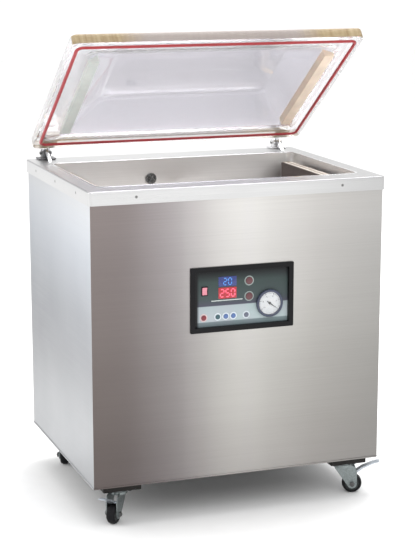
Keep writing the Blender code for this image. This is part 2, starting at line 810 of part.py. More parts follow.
def rear_crossbar():
    """A bar across the back of the cabinet with an ear pair and a pin for each gas spring."""
    half = PANEL_SIDE - SHEET - 0.001
    low, high = STRUT_FOOT_Z - 0.015, STRUT_FOOT_Z + 0.015
    bar = box("rear_crossbar", (-half, FRONT + 0.560, low), (half, FRONT + 0.585, high))
    for side in (-1, 1):
        for edge in (-1, 1):
            middle = side * STRUT_X + edge * 0.0075
            ear = box(
                f"crossbar_ear_{side}_{edge}",
                (middle - 0.0015, STRUT_FOOT_Y - 0.009, STRUT_FOOT_Z - 0.009),
                (middle + 0.0015, FRONT + 0.562, STRUT_FOOT_Z + 0.009),
            )
            join(bar, ear)
        pin = rod(
            f"crossbar_pin_{side}",
            0.003,
            (side * STRUT_X - 0.0085, STRUT_FOOT_Y, STRUT_FOOT_Z),
            (side * STRUT_X + 0.0085, STRUT_FOOT_Y, STRUT_FOOT_Z),
            12,
        )
        join(bar, pin)
    return keep(bar, ZINC)


# ---------------------------------------------------------------- control panel


def control_bezel():
    """A black frame on the front panel whose walls run back to the fascia."""
    half_x, half_z = BEZEL_WIDTH / 2, BEZEL_HEIGHT / 2
    frame = box(
        "control_bezel",
        (PANEL_X - half_x, BEZEL_FACE, PANEL_Z - half_z),
        (PANEL_X + half_x, PANEL_FRONT - GAP, PANEL_Z + half_z),
        0.0025,
        2,
        Y_AXIS,
    )
    wall = BEZEL_BORDER - 0.004
    sleeve = box(
        "bezel_sleeve",
        (PANEL_X - half_x + wall, BEZEL_FACE + 0.001, PANEL_Z - half_z + wall),
        (PANEL_X + half_x - wall, FASCIA_FACE + 0.008, PANEL_Z + half_z - wall),
    )
    window = box(
        "bezel_window",
        (PANEL_X - half_x + BEZEL_BORDER, BEZEL_FACE - 0.01, PANEL_Z - half_z + BEZEL_BORDER),
        (PANEL_X + half_x - BEZEL_BORDER, FASCIA_FACE + 0.02, PANEL_Z + half_z - BEZEL_BORDER),
    )
    join(frame, sleeve)
    cut(frame, window)
    return keep(frame, BLACK_PLASTIC)


def control_fascia():
    rim = BEZEL_BORDER + GAP
    half_x, half_z = BEZEL_WIDTH / 2 - rim, BEZEL_HEIGHT / 2 - rim
    plate = box(
        "control_fascia",
        (PANEL_X - half_x, FASCIA_FACE, PANEL_Z - half_z),
        (PANEL_X + half_x, FASCIA_FACE + FASCIA_THICKNESS, PANEL_Z + half_z),
    )
    ahead, behind = FASCIA_FACE - 0.01, FASCIA_FACE + 0.01
    cut(plate, rod("gauge_hole", 0.0305, (GAUGE_X, ahead, GAUGE_Z), (GAUGE_X, behind, GAUGE_Z), 28))
    for name, x, z, radius in KEYS:
        cut(plate, rod(f"{name}_hole", radius - 0.002, (x, ahead, z), (x, behind, z), 12))
    switch_hole = box(
        "switch_hole",
        (SWITCH_X - SWITCH_WIDTH / 2, ahead, SWITCH_Z - SWITCH_HEIGHT / 2),
        (SWITCH_X + SWITCH_WIDTH / 2, behind, SWITCH_Z + SWITCH_HEIGHT / 2),
    )
    cut(plate, switch_hole)
    return keep(plate, FASCIA_FILM)


def key(name, x, z, radius, paint):
    """A round key: a domed cap in front of the fascia and a stem through it."""
    face = FASCIA_FACE
    stem = radius - 0.0028
    profile = [(0.0, 0.0030), (radius * 0.6, 0.0027), (radius, 0.0017), (radius, 0.0013)]
    profile += [(stem, 0.0013), (stem, -0.0030), (0.0, -0.0030)]
    cap = turned(name, profile, (x, face, z), (0, -1, 0), 14)
    return keep(cap, paint)


def power_switch():
    """A rocker that tips about a horizontal axis in the middle of its cut-out."""
    half_x, half_z = SWITCH_WIDTH / 2 - 0.0005, SWITCH_HEIGHT / 2 - 0.0012
    face = FASCIA_FACE
    outline = [(face + 0.0035, -half_z * 0.6), (face - 0.0020, -half_z), (face - 0.0008, 0.0)]
    outline += [(face - 0.0034, half_z), (face + 0.0035, half_z * 0.6)]
    middle = face + 0.001
    profile = [(y - middle, z) for y, z in outline]
    rocker = slab("power_switch", profile, 2 * half_x, (SWITCH_X, middle, SWITCH_Z), Y_AXIS, Z_AXIS)
    return keep(rocker, RED_KEY)


def gauge_case():
    """The vacuum gauge's round case: a raised rim, the dial set back inside it, the body behind."""
    rim, dial, back = 0.0083, 0.0030, -0.030
    inner, body = GAUGE_RADIUS - 0.0045, 0.030
    profile = [(0.0, dial), (inner, dial), (inner, rim - 0.001), (inner + 0.001, rim)]
    profile += [(GAUGE_RADIUS - 0.0015, rim), (GAUGE_RADIUS, rim - 0.002), (GAUGE_RADIUS, GAP)]
    profile += [(body, GAP), (body, back), (0.0, back)]
    case = turned("gauge_case", profile, (GAUGE_X, FASCIA_FACE, GAUGE_Z), (0, -1, 0), 32)
    return keep(case, GAUGE_BLUE)


def gauge_needle():
    """The pointer on its spindle, resting at the zero mark at the lower right of the dial."""
    rest = math.radians(-36)
    tip, tail = 0.0235, -0.009
    outline = [(tail, -0.0011), (0.0, -0.0014), (tip, -0.0003), (tip, 0.0003), (0.0, 0.0014), (tail, 0.0011)]
    face = FASCIA_FACE - 0.0052
    across = (math.cos(rest), 0, math.sin(rest))
    up = (-math.sin(rest), 0, math.cos(rest))
    needle = slab("gauge_needle", outline, 0.0006, (GAUGE_X, face, GAUGE_Z), across, up)
    hub_ends = [(GAUGE_X, y, GAUGE_Z) for y in (face - 0.0008, FASCIA_FACE - 0.0033)]
    hub = rod("needle_hub", 0.0032, *hub_ends, 16)
    join(needle, hub)
    return keep(needle, BLACK_PLASTIC)


def control_box():
    """The box of electronics behind the displays and keys."""
    low, high = (-0.110, FASCIA_FACE + 0.012, PANEL_Z - 0.060), (0.038, FASCIA_FACE + 0.055, PANEL_Z + 0.060)
    shell = box("control_box", low, high, 0.003, 1)
    return keep(shell, BLACK_PLASTIC)


# ---------------------------------------------------------------- inside the cabinet


def vacuum_pump():
    """The rotary vane pump: oil box, cylinder block and exhaust filter housing in one casting."""
    left, right = PUMP_X
    front, rear = PUMP_Y
    pump = box("vacuum_pump", (left, front, TRAY_FLOOR + 0.015), (right, rear, PUMP_TOP), 0.012, 2)
    feet = []
    for x in (left + 0.020, right - 0.055):
        low, high = (x, front - 0.015, TRAY_FLOOR), (x + 0.035, rear + 0.015, TRAY_FLOOR + 0.022)
        feet.append(box(f"pump_foot_{x:.3f}", low, high, 0.003, 1))
    y, z = (front + rear) / 2, PUMP_TOP - 0.075
    filter_case = rod("pump_filter", 0.045, (left - 0.055, y, z), (left + 0.010, y, z), 24, 0.006)
    join(pump, filter_case, *feet)
    return keep(pump, CAST_GREY)


def pump_motor():
    """The pump's electric motor, flanged to its right end and standing on a foot of its own."""
    start, end = PUMP_X[1] + 2 * GAP, PUMP_X[1] + MOTOR_LENGTH
    y, z = (PUMP_Y[0] + PUMP_Y[1]) / 2, PUMP_TOP - 0.095
    motor = rod("pump_motor", MOTOR_RADIUS, (start, y, z), (end, y, z), 24, 0.008)
    foot_low, foot_high = (start + 0.055, y - 0.060, TRAY_FLOOR), (end - 0.045, y + 0.060, z - 0.045)
    box_low, box_high = (start + 0.075, y - 0.035, z + 0.055), (end - 0.075, y + 0.035, z + 0.095)
    foot = box("motor_foot", foot_low, foot_high, 0.002, 1)
    terminals = box("motor_terminals", box_low, box_high, 0.004, 1)
    join(motor, foot, terminals)
    return keep(motor, CAST_GREY)


def vacuum_valve():
    """The solenoid valve on the pump's inlet."""
    x, y = VALVE_X, VALVE_Y
    low, high = (x - VALVE_HALF, y - VALVE_HALF, PUMP_TOP + GAP), (x + VALVE_HALF, y + VALVE_HALF, VALVE_TOP)
    valve = box("vacuum_valve", low, high, 0.004, 1)
    coil = rod("valve_coil", 0.020, (x, y, VALVE_TOP - 0.005), (x, y, VALVE_TOP + 0.045), 20, 0.002)
    join(valve, coil)
    return keep(valve, ALUMINIUM)


def suction_pipe():
    """The hose from the valve up behind the chamber to the suction port."""
    start = Vector((VALVE_X, VALVE_Y + VALVE_HALF + 0.0008, VALVE_TOP - 0.022))
    end = Vector((GRILLE_X, CHAMBER_REAR + CHAMBER_WALL + GAP, GRILLE_Z))
    corners = [
        start,
        start + Vector((0, 0.010, 0)),
        start + Vector((0, 0.050, 0.004)),
        Vector((-0.105, end.y + 0.045, 0.450)),
        Vector((GRILLE_X - 0.010, end.y + 0.052, 0.640)),
        Vector((GRILLE_X, end.y + 0.046, GRILLE_Z - 0.024)),
        Vector((GRILLE_X, end.y + 0.024, GRILLE_Z)),
        Vector((GRILLE_X, end.y + 0.008, GRILLE_Z)),
        end,
    ]
    curve = bpy.data.curves.new("suction_pipe", "CURVE")
    curve.dimensions = "3D"
    curve.bevel_depth = 0.0105
    curve.bevel_resolution = 1
    curve.use_fill_caps = True
    route = smooth_route(corners, 4)
    spline = curve.splines.new("POLY")
    spline.points.add(len(route) - 1)
    for point, place_at in zip(spline.points, route):
        point.co = (*place_at, 1)
    drawn = bpy.data.objects.new("pipe_line", curve)
    bpy.context.scene.collection.objects.link(drawn)
    pipe = solid_from(drawn, "suction_pipe", Matrix.Identity(4))
    return keep(pipe, HOSE)


def smooth_route(points, steps):
    """A Catmull-Rom curve through the points."""
    ends = [points[0] * 2 - points[1], *points, points[-1] * 2 - points[-2]]
    route = []
    for a, b, c, d in zip(ends, ends[1:], ends[2:], ends[3:]):
        for i in range(steps):
            t = i / steps
            square, cube = 2 * a - 5 * b + 4 * c - d, 3 * b - a - 3 * c + d
            route.append((2 * b + (c - a) * t + square * t**2 + cube * t**3) / 2)
    route.append(points[-1])
    return route


def air_valve():
    """The small valve on the chamber's rear wall that lets the air back in."""
    back = CHAMBER_REAR + CHAMBER_WALL + GAP
    x, z = AIR_VALVE_X, AIR_VALVE_Z
    valve = box("air_valve", (x - 0.020, back, z - 0.020), (x + 0.020, back + 0.035, z + 0.020), 0.003, 1)
    coil_ends = [(x, back + 0.018, z - drop) for drop in (0.055, 0.015)]
    coil = rod("air_valve_coil", 0.014, *coil_ends, 16, 0.002)
    join(valve, coil)
    return keep(valve, ALUMINIUM)


def transformer():
    """The laminated transformer that heats the sealing wires."""
    low, high = Vector((-0.330, -0.265, TRAY_FLOOR)), Vector((-0.220, -0.165, TRAY_FLOOR + 0.110))
    core = box("transformer", low, high, 0.002, 1)
    inset = Vector((0.020, -0.015, 0.024))
    winding = box("transformer_winding", low + inset, high - inset, 0.010, 2)
    join(core, winding)
    return keep(core, COPPER)


def cord_gland():
    """The threaded gland in the rear panel that the mains cord enters by."""
    back = -PANEL_FRONT
    profile = [(0.0040, 0.0170), (0.0075, 0.0170), (0.0085, 0.0150), (0.0110, 0.0110), (0.0125, 0.0100)]
    profile += [(0.0125, GAP), (0.0078, GAP), (0.0078, -0.0100), (0.0040, -0.0100), (0.0040, 0.0170)]
    gland = turned("cord_gland", profile, (GLAND_X, back, GLAND_Z), Y_AXIS, 14)
    return keep(gland, BLACK_PLASTIC)


# ---------------------------------------------------------------- casters


def caster_plate(name, x, y):
    """A caster's mounting plate with the upper race and the king pin."""
    top = RAIL_BOTTOM - GAP
    plate = box(name, (x - 0.031, y - 0.031, top - 0.0025), (x + 0.031, y + 0.031, top), 0.006, 2, Z_AXIS)
    race = rod(name + "_race", 0.0225, (x, y, top - 0.0075), (x, y, top - 0.002), 28)
    pin = rod(name + "_pin", 0.005, (x, y, top - 0.0185), (x, y, top - 0.005), 16)
    head = rod(name + "_head", 0.0075, (x, y, top - 0.0195), (x, y, top - 0.0155), 16)
    join(plate, race, pin, head)
    return keep(plate, ZINC)


def caster_fork(name, pivot):
    """The swivelling fork: a round bridge, two raked legs and the axle bolt through them."""
    top = RAIL_BOTTOM - GAP - 0.0080
    bridge = rod(name, 0.024, (0, 0, top - 0.0065), (0, 0, top), 24, origin=(0, 0, 0))
    hole = rod(name + "_hole", 0.0054, (0, 0, top - 0.02), (0, 0, top + 0.01), 12)
    end = 0.0120
    foot = (WHEEL_TRAIL, WHEEL_RADIUS)
    outline = [(-0.019, top - 0.002), (-0.019, top - 0.009)]
    outline += arc(foot, end, math.radians(205), math.radians(360), 7)
    outline += [(0.038, top - 0.020), (0.033, top - 0.007), (0.022, top - 0.002)]
    pieces = []
    for edge in (-1, 1):
        middle = edge * (WHEEL_WIDTH / 2 + 0.0032)
        pieces.append(slab(f"{name}_leg_{edge}", outline, 0.0024, (0, middle, 0), X_AXIS, Z_AXIS))
    reach = WHEEL_WIDTH / 2 + 0.0075
    axle_ends = [(WHEEL_TRAIL, edge * reach, WHEEL_RADIUS) for edge in (-1, 1)]
    pieces.append(rod(name + "_axle", AXLE_RADIUS, *axle_ends, 12))
    for edge, outer in zip((-1, 1), axle_ends):
        near = (WHEEL_TRAIL, edge * (WHEEL_WIDTH / 2 + 0.0040), WHEEL_RADIUS)
        pieces.append(rod(f"{name}_nut_{edge}", 0.0062, near, outer, 6))
    for piece in (bridge, hole, *pieces):
        piece.parent = pivot
    join(bridge, *pieces)
    cut(bridge, hole)
    return keep(bridge, ZINC, pivot)


def caster_wheel(name, pivot):
    """A rubber-tyred wheel with a plain bore."""
    half = WHEEL_WIDTH / 2
    hub = half + 0.0008
    tread = WHEEL_RADIUS
    profile = [
        (AXLE_RADIUS + 0.0004, hub),
        (0.0085, hub),
        (0.0165, half - 0.002),
        (0.0175, half),
        (tread - 0.0030, half),
        (tread, half - 0.0050),
    ]
    mirrored = [(radius, -height) for radius, height in reversed(profile)]
    wheel = turned(name, profile + mirrored + profile[:1], (0, 0, 0), Z_AXIS, 28)
    wheel.parent = pivot
    wheel.matrix_local = Matrix.Translation((WHEEL_TRAIL, 0, WHEEL_RADIUS)) @ turn_to(Y_AXIS)
    return keep(wheel, TYRE, pivot)


def brake_pedal(name, pivot):
    """A foot pedal over the wheel; pressing its tip down brings its pad against the tyre."""
    px, _, pz = PEDAL_PIVOT
    outline = [
        (0.0290, 0.0545),
        (0.0400, 0.0545),
        (0.0520, 0.0640),
        (0.0800, 0.0772),
        (0.0950, 0.0812),
        (0.0950, 0.0835),
        (0.0780, 0.0800),
        (0.0500, 0.0680),
        (0.0380, 0.0592),
        (0.0290, 0.0585),
    ]
    local = [(x - px, z - pz) for x, z in outline]
    pedal = slab(name, local, PEDAL_WIDTH, (px, 0, pz), X_AXIS, Z_AXIS)
    pedal.parent = pivot
    reach = WHEEL_WIDTH / 2 + 0.0017
    pin = rod(name + "_pin", 0.0021, (px, -reach, pz + 0.0005), (px, reach, pz + 0.0005), 10)
    pin.parent = pivot
    join(pedal, pin)
    return keep(pedal, ZINC, pivot)


def caster(name, x, y, trail, braked):
    caster_plate(f"caster_plate_{name}", x, y)
    pivot = bpy.data.objects.new(f"swivel_axis_{name}", None)
    pivot.location = (x, y, 0)
    pivot.rotation_euler = (0, 0, trail)
    parts.objects.link(pivot)
    caster_fork(f"caster_fork_{name}", pivot)
    caster_wheel(f"caster_wheel_{name}", pivot)
    if braked:
        brake_pedal(f"brake_pedal_{name}", pivot)


# ---------------------------------------------------------------- assembly

base_frame()
front_panel()
side_panel("left_panel", -1)
side_panel("right_panel", 1)
rear_panel()
top_plate()
chamber_tub()
suction_grille()
rear_crossbar()

hinge = lid_axis()
lid_shell(hinge)
lid_seal(hinge)
for word, sign in (("left", -1), ("right", 1)):
    seal_bar(f"seal_bar_{word}", sign)
    bar_lift(f"bar_lift_{word}", sign)
    counter_bar(f"counter_bar_{word}", sign, hinge)
    hinge_base(f"hinge_base_{word}", sign)
    hinge_arm(f"hinge_arm_{word}", sign, hinge)
    strut = strut_axis(sign)
    strut_cylinder(f"strut_cylinder_{word}", strut)
    strut_rod(f"strut_rod_{word}", strut)

control_bezel()
control_fascia()
control_box()
gauge_case()
gauge_needle()
power_switch()
for label, at_x, at_z, size in KEYS:
    key(label, at_x, at_z, size, RED_KEY if label == "key_stop" else BLUE_KEY)

vacuum_pump()
pump_motor()
vacuum_valve()
suction_pipe()
air_valve()
transformer()
cord_gland()

for spec in CASTERS:
    caster(*spec)
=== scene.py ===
"""The looks of the vacuum packing machine: finishes for its CAD nodes, and the fine pieces around them.

Every piece is modelled in the machine's own frame, in metres, in the place that the CAD nodes give it.
"""

import json
import math

import bmesh
import bpy
from mathutils import Matrix, Vector


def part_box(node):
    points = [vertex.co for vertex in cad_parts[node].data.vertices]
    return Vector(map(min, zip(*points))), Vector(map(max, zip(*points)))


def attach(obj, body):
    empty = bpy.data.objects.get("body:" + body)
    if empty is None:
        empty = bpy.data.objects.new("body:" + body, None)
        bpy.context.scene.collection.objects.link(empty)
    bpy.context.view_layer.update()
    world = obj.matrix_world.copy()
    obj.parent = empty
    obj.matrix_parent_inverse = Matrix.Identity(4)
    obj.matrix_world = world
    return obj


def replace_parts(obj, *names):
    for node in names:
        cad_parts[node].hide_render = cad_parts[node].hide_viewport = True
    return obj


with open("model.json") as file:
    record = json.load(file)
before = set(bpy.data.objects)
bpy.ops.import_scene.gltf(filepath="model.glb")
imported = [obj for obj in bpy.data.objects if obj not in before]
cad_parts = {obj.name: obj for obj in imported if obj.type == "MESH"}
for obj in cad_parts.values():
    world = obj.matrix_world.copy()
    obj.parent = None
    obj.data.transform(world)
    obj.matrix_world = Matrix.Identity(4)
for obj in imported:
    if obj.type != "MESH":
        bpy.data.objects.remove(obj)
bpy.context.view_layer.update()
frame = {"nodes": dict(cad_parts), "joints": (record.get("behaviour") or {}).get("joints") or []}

X, Y, Z = Vector((1, 0, 0)), Vector((0, 1, 0)), Vector((0, 0, 1))
NODES = frame["nodes"]
JOINTS = {joint["name"]: joint for joint in frame["joints"]}
MM = 0.001


def span(node):
    """A node's lowest and highest corner, its middle and its size."""
    low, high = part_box(node)
    return low, high, (low + high) / 2, high - low


# ---- places read from the frame

DECK_LOW, DECK_HIGH, _, DECK_SIZE = span("top_plate")
TUB_LOW, TUB_HIGH, _, _ = span("chamber_tub")
PANEL_LOW, PANEL_HIGH, _, _ = span("front_panel")
FASCIA_LOW, FASCIA_HIGH, _, _ = span("control_fascia")
DECK_Z = DECK_HIGH.z
HINGE = Vector(JOINTS["lid_hinge"]["pos_m"])
LID_ANGLE = math.radians(JOINTS["lid_hinge"]["range_deg"][1])
LID_FRAME = Matrix.Translation(HINGE) @ Matrix.Rotation(-LID_ANGLE, 4, "X")
SIDES = (("left", -1), ("right", 1))
CASTERS = ("front_left", "front_right", "rear_left", "rear_right")
KEY_NAMES = ("key_stop", "key_mode", "key_down", "key_up", "key_enter", "key_plus", "key_minus")


# ---- materials


def feed(tree, socket, value):
    """Joins another node's socket to this one, or sets a plain value on it."""
    if isinstance(value, bpy.types.NodeSocket):
        tree.links.new(value, socket)
    else:
        socket.default_value = value


def join(shader, label, socket):
    """Joins another node's socket to one of the shader's inputs."""
    shader.id_data.links.new(socket, shader.inputs[label])


def node(tree, kind, settings=None, **inputs):
    """Adds a shader node; each input is a plain value or another node's socket."""
    made = tree.nodes.new("ShaderNode" + kind)
    for name, value in (settings or {}).items():
        setattr(made, name, value)
    for name, value in inputs.items():
        feed(tree, made.inputs[name.replace("_", " ")], value)
    return made


def compute(tree, operation, *values):
    """The result of a Math node on plain numbers or other nodes' sockets."""
    made = node(tree, "Math", {"operation": operation})
    for socket, value in zip(made.inputs, values):
        feed(tree, socket, value)
    return made.outputs[0]


def set_inputs(paint, **values):
    """Sets plain values on a material's shader, and returns the shader."""
    shader = paint.node_tree.nodes["Principled BSDF"]
    for label, value in values.items():
        shader.inputs[label.replace("_", " ")].default_value = value
    return shader


def new_material(name, **values):
    """A Principled material; returns it with its tree and shader for further wiring."""
    made = bpy.data.materials.new(name)
    made.use_nodes = True
    return made, made.node_tree, set_inputs(made, **values)


def rgb(red, green, blue):
    return (red, green, blue, 1.0)


def position(tree):
    """A point's place in the machine's own metres, as three sockets named X, Y and Z."""
    return node(tree, "SeparateXYZ", Vector=node(tree, "TexCoord").outputs["Object"]).outputs


def noise(tree, scale, detail=3.0, roughness=0.55):
    """Noise over the object's own metres, with its own scale on each axis."""
    place = node(tree, "TexCoord").outputs["Object"]
    scaled = node(tree, "Mapping", Vector=place, Scale=scale).outputs["Vector"]
    made = node(tree, "TexNoise", Vector=scaled, Scale=1.0, Detail=detail, Roughness=roughness)
    return made.outputs["Fac"]


def remap(tree, value, low, high, out_low, out_high):
    """A value moved from one range to another, and kept inside it."""
    ends = {"From_Min": low, "From_Max": high, "To_Min": out_low, "To_Max": out_high}
    return node(tree, "MapRange", Value=value, **ends).outputs["Result"]


def blend_colours(tree, factor, one, other, mode="MIX"):
    """Two colours mixed; a Mix node's colour inputs are its seventh and eighth."""
    made = node(tree, "Mix", {"data_type": "RGBA", "blend_type": mode})
    for index, value in ((0, factor), (6, one), (7, other)):
        feed(tree, made.inputs[index], rgb(*value) if isinstance(value, tuple) else value)
    return made.outputs[2]


def colour_ramp(tree, value, stops, interpolation):
    """A colour that follows a value from 0 to 1, from (place, colour) stops."""
    made = node(tree, "ValToRGB", Fac=value)
    made.color_ramp.interpolation = interpolation
    elements = made.color_ramp.elements
    elements[0].color, elements[1].color = rgb(*stops[0][1]), rgb(*stops[-1][1])
    for place, colour in stops[1:-1]:
        elements.new(place).color = rgb(*colour)
    return made.outputs["Color"]


def bump(tree, shader, height, strength, distance):
    made = node(tree, "Bump", Height=height, Strength=strength, Distance=distance)
    join(shader, "Normal", made.outputs["Normal"])


def along(axis, lengthwise, across):
    """A texture scale that is coarse along one axis and fine across it."""
    return tuple(lengthwise if part else across for part in axis)


def brushed_steel(name, axis, light, dark, roughness, grain=900.0):
    """Sheet steel with a fine grain along one axis, faint long bands and a few softer patches."""
    made, tree, shader = new_material(name, Metallic=1.0, Anisotropic=0.55)
    streaks = noise(tree, along(axis, 3.0, grain), 3.0, 0.6)
    bands = noise(tree, along(axis, 0.5, 42.0), 2.0)
    patches = noise(tree, (4.0, 4.0, 4.0), 3.0)
    tone = blend_colours(tree, remap(tree, streaks, 0.3, 0.7, 0.0, 1.0), dark, light)
    banded = blend_colours(tree, remap(tree, bands, 0.35, 0.65, 0.0, 0.2), tone, light)
    join(shader, "Base Color", banded)
    fine = remap(tree, streaks, 0.25, 0.75, roughness - 0.05, roughness + 0.07)
    soft = remap(tree, patches, 0.3, 0.7, -0.03, 0.04)
    join(shader, "Roughness", compute(tree, "ADD", fine, soft))
    turn = "Y" if axis == (1, 0, 0) else "Z"
    tangent = node(tree, "Tangent", {"direction_type": "RADIAL", "axis": turn})
    join(shader, "Tangent", tangent.outputs["Tangent"])
    bump(tree, shader, streaks, 0.10, 0.0002)
    return made


def worn_metal(name, light, dark, roughness, grain=70.0, bumpiness=0.1, metallic=1.0):
    """Plated, cast or painted metal: a mottled tone, uneven gloss and a slight texture."""
    made, tree, shader = new_material(name, Metallic=metallic)
    mottle = noise(tree, (grain,) * 3, 4.0, 0.6)
    cloud = noise(tree, (9.0, 9.0, 9.0), 2.0)
    tone = blend_colours(tree, remap(tree, mottle, 0.35, 0.65, 0.0, 1.0), dark, light)
    join(shader, "Base Color", tone)
    join(shader, "Roughness", remap(tree, cloud, 0.3, 0.7, roughness - 0.07, roughness + 0.08))
    bump(tree, shader, mottle, bumpiness, 0.0003)
    return made


def moulded(name, colour, roughness, grain=900.0, bumpiness=0.15, variation=0.12, coat=0.0):
    """Moulded plastic or rubber with a fine skin texture and a little unevenness in its colour."""
    made, tree, shader = new_material(name, Coat_Weight=coat, Coat_Roughness=0.12)
    skin = noise(tree, (grain,) * 3, 2.0, 0.5)
    cloud = noise(tree, (22.0, 22.0, 22.0), 3.0)
    darker = tuple(part * (1 - variation) for part in colour)
    lighter = tuple(min(1.0, part * (1 + variation)) for part in colour)
    tone = blend_colours(tree, remap(tree, cloud, 0.3, 0.7, 0.0, 1.0), darker, lighter)
    join(shader, "Base Color", tone)
    join(shader, "Roughness", remap(tree, skin, 0.3, 0.7, roughness - 0.06, roughness + 0.06))
    bump(tree, shader, skin, bumpiness, 0.0001)
    return made


def silicone(name, colour, glow):
    """Soft silicone: a matt skin that lets a little light into it."""
    made = moulded(name, colour, 0.42, 500.0, 0.08, 0.08)
    depth = (0.004, 0.002, 0.002)
    set_inputs(made, Subsurface_Weight=glow, Subsurface_Radius=depth, Subsurface_Scale=1.0)
    return made


def clear_plastic(name, tint, haze, body=1.0, ior=1.49):
    """Polished cast acrylic: clear, slightly tinted, with the faintest ripple of a moulded sheet."""
    made, tree, shader = new_material(name, Transmission_Weight=1.0, IOR=ior, Alpha=body)
    ripple = noise(tree, (7.0, 7.0, 7.0), 2.0)
    scuffs = noise(tree, (60.0, 220.0, 60.0), 3.0, 0.7)
    paler = tuple(min(1.0, part * 1.03) for part in tint)
    tone = blend_colours(tree, ripple, tint, paler)
    join(shader, "Base Color", tone)
    join(shader, "Roughness", remap(tree, scuffs, 0.4, 0.8, haze, haze + 0.05))
    bump(tree, shader, ripple, 0.02, 0.001)
    return made


def print_ink(name, colour):
    """Ink printed on the fascia."""
    return moulded(name, colour, 0.40, 700.0, 0.05)


def key_cap(name, colour):
    """A push key's glossy plastic."""
    return moulded(name, colour, 0.34, 500.0, 0.06, 0.1, 0.3)


def lit_film(name, colour, strength, roughness=0.25):
    """A backlit printed film or a lamp's lens: a soft glow under a glossy skin."""
    made = moulded(name, colour, roughness, 300.0, 0.03, 0.15, 0.5)
    tree = made.node_tree
    shader = set_inputs(made, Emission_Strength=strength)
    cells = noise(tree, (160.0, 160.0, 160.0), 2.0)
    dim = tuple(part * 0.7 for part in colour)
    glow = blend_colours(tree, cells, dim, colour)
    join(shader, "Emission Color", glow)
    return made


FRONT_STEEL = brushed_steel("front_steel", (1, 0, 0), (0.73, 0.715, 0.70), (0.66, 0.645, 0.63), 0.34)
# The same sheet steel as the front, made darker all over: a shaded copy, painted shade.
REAR_STEEL_SHADED = brushed_steel("rear_steel", (1, 0, 0), (0.56, 0.55, 0.54), (0.50, 0.49, 0.48), 0.36)
SIDE_STEEL = brushed_steel("side_steel", (0, 1, 0), (0.70, 0.715, 0.735), (0.65, 0.66, 0.68), 0.36)
DECK_STEEL = brushed_steel("deck_steel", (1, 0, 0), (0.70, 0.70, 0.70), (0.64, 0.64, 0.64), 0.30)
TUB_STEEL = brushed_steel("tub_steel", (1, 0, 0), (0.84, 0.82, 0.80), (0.76, 0.74, 0.72), 0.42)
LIP_STEEL = worn_metal("lip_steel", (0.84, 0.84, 0.84), (0.76, 0.76, 0.76), 0.16, 200.0, 0.04)
CHROME = worn_metal("chrome", (0.80, 0.80, 0.81), (0.70, 0.70, 0.71), 0.14, 120.0, 0.03)
ZINC = worn_metal("zinc", (0.27, 0.30, 0.30), (0.20, 0.225, 0.225), 0.42, 260.0, 0.12)
PEDAL_ZINC = worn_metal("pedal_zinc", (0.50, 0.54, 0.58), (0.38, 0.41, 0.45), 0.38, 260.0, 0.12)
BOLT_STEEL = worn_metal("bolt_steel", (0.16, 0.16, 0.16), (0.09, 0.09, 0.09), 0.38, 400.0, 0.08)
SCREW_STEEL = worn_metal("screw_steel", (0.34, 0.34, 0.33), (0.22, 0.22, 0.22), 0.34, 400.0, 0.06)
GRILLE_GREY = worn_metal("grille_grey", (0.17, 0.17, 0.17), (0.09, 0.09, 0.09), 0.4, 300.0, 0.1, 0.7)
BRASS = worn_metal("brass", (0.72, 0.55, 0.28), (0.60, 0.43, 0.20), 0.32, 300.0, 0.06)
DARK_STEEL = worn_metal("dark_steel", (0.026, 0.024, 0.023), (0.016, 0.015, 0.014), 0.55, 160.0, 0.15, 0.8)
# A dark steel for the left hinge base only, whose twin is chrome: painted shade.
HINGE_STEEL_SHADED = worn_metal("hinge_steel", (0.20, 0.20, 0.21), (0.12, 0.12, 0.125), 0.36, 200.0, 0.08)
ALUMINIUM = worn_metal("aluminium", (0.62, 0.62, 0.63), (0.54, 0.54, 0.55), 0.38, 300.0, 0.06)
CAST_GREY = worn_metal("cast_grey", (0.30, 0.33, 0.35), (0.24, 0.27, 0.29), 0.50, 420.0, 0.35, 0.3)
COPPER = worn_metal("winding", (0.52, 0.26, 0.12), (0.38, 0.17, 0.08), 0.38, 600.0, 0.25, 0.7)
BAR_BROWN = worn_metal("bar_anodised", (0.105, 0.078, 0.070), (0.066, 0.048, 0.044), 0.42, 260.0, 0.08, 0.7)
BLACK_PLASTIC = moulded("black_plastic", (0.005, 0.005, 0.006), 0.34)
BLACK_NYLON = moulded("black_nylon", (0.012, 0.012, 0.013), 0.50)
TYRE_RUBBER = moulded("tyre_rubber", (0.006, 0.006, 0.007), 0.60, 700.0, 0.35, 0.25)
WHEEL_CORE = moulded("wheel_core", (0.055, 0.060, 0.060), 0.45, 500.0, 0.15)
for dull in (BLACK_PLASTIC, BLACK_NYLON, TYRE_RUBBER, WHEEL_CORE):
    set_inputs(dull, Specular_IOR_Level=0.18)
RED_SILICONE = silicone("red_silicone", (0.36, 0.022, 0.028), 0.2)
TAN_SILICONE = silicone("tan_silicone", (0.76, 0.62, 0.49), 0.25)
GREEN_SILICONE = silicone("green_silicone", (0.60, 0.63, 0.60), 0.25)
DOME_ACRYLIC = clear_plastic("acrylic_dome", (0.60, 0.585, 0.645), 0.03, 0.86, 1.47)
RIM_ACRYLIC = clear_plastic("acrylic_rim", (0.88, 0.875, 0.89), 0.02, 0.55, 1.38)
PTFE_TAPE = moulded("ptfe_tape", (0.50, 0.42, 0.34), 0.38, 1400.0, 0.25, 0.15, 0.3)
CREAM_TAPE = moulded("cream_tape", (0.82, 0.78, 0.70), 0.45, 1400.0, 0.15, 0.08)
GAUGE_BLUE = moulded("gauge_rim", (0.030, 0.040, 0.078), 0.30, 600.0, 0.06, 0.1, 0.4)
# The dial's faint glow is painted light: nothing lights the dial.
DIAL_PAINTED_GLOW = lit_film("dial_white", (0.90, 0.93, 0.95), 0.12, 0.4)
INK = moulded("dial_ink", (0.020, 0.024, 0.026), 0.45, 800.0, 0.03, 0.1)
GLASS = clear_plastic("gauge_glass", (0.96, 0.97, 0.98), 0.0)
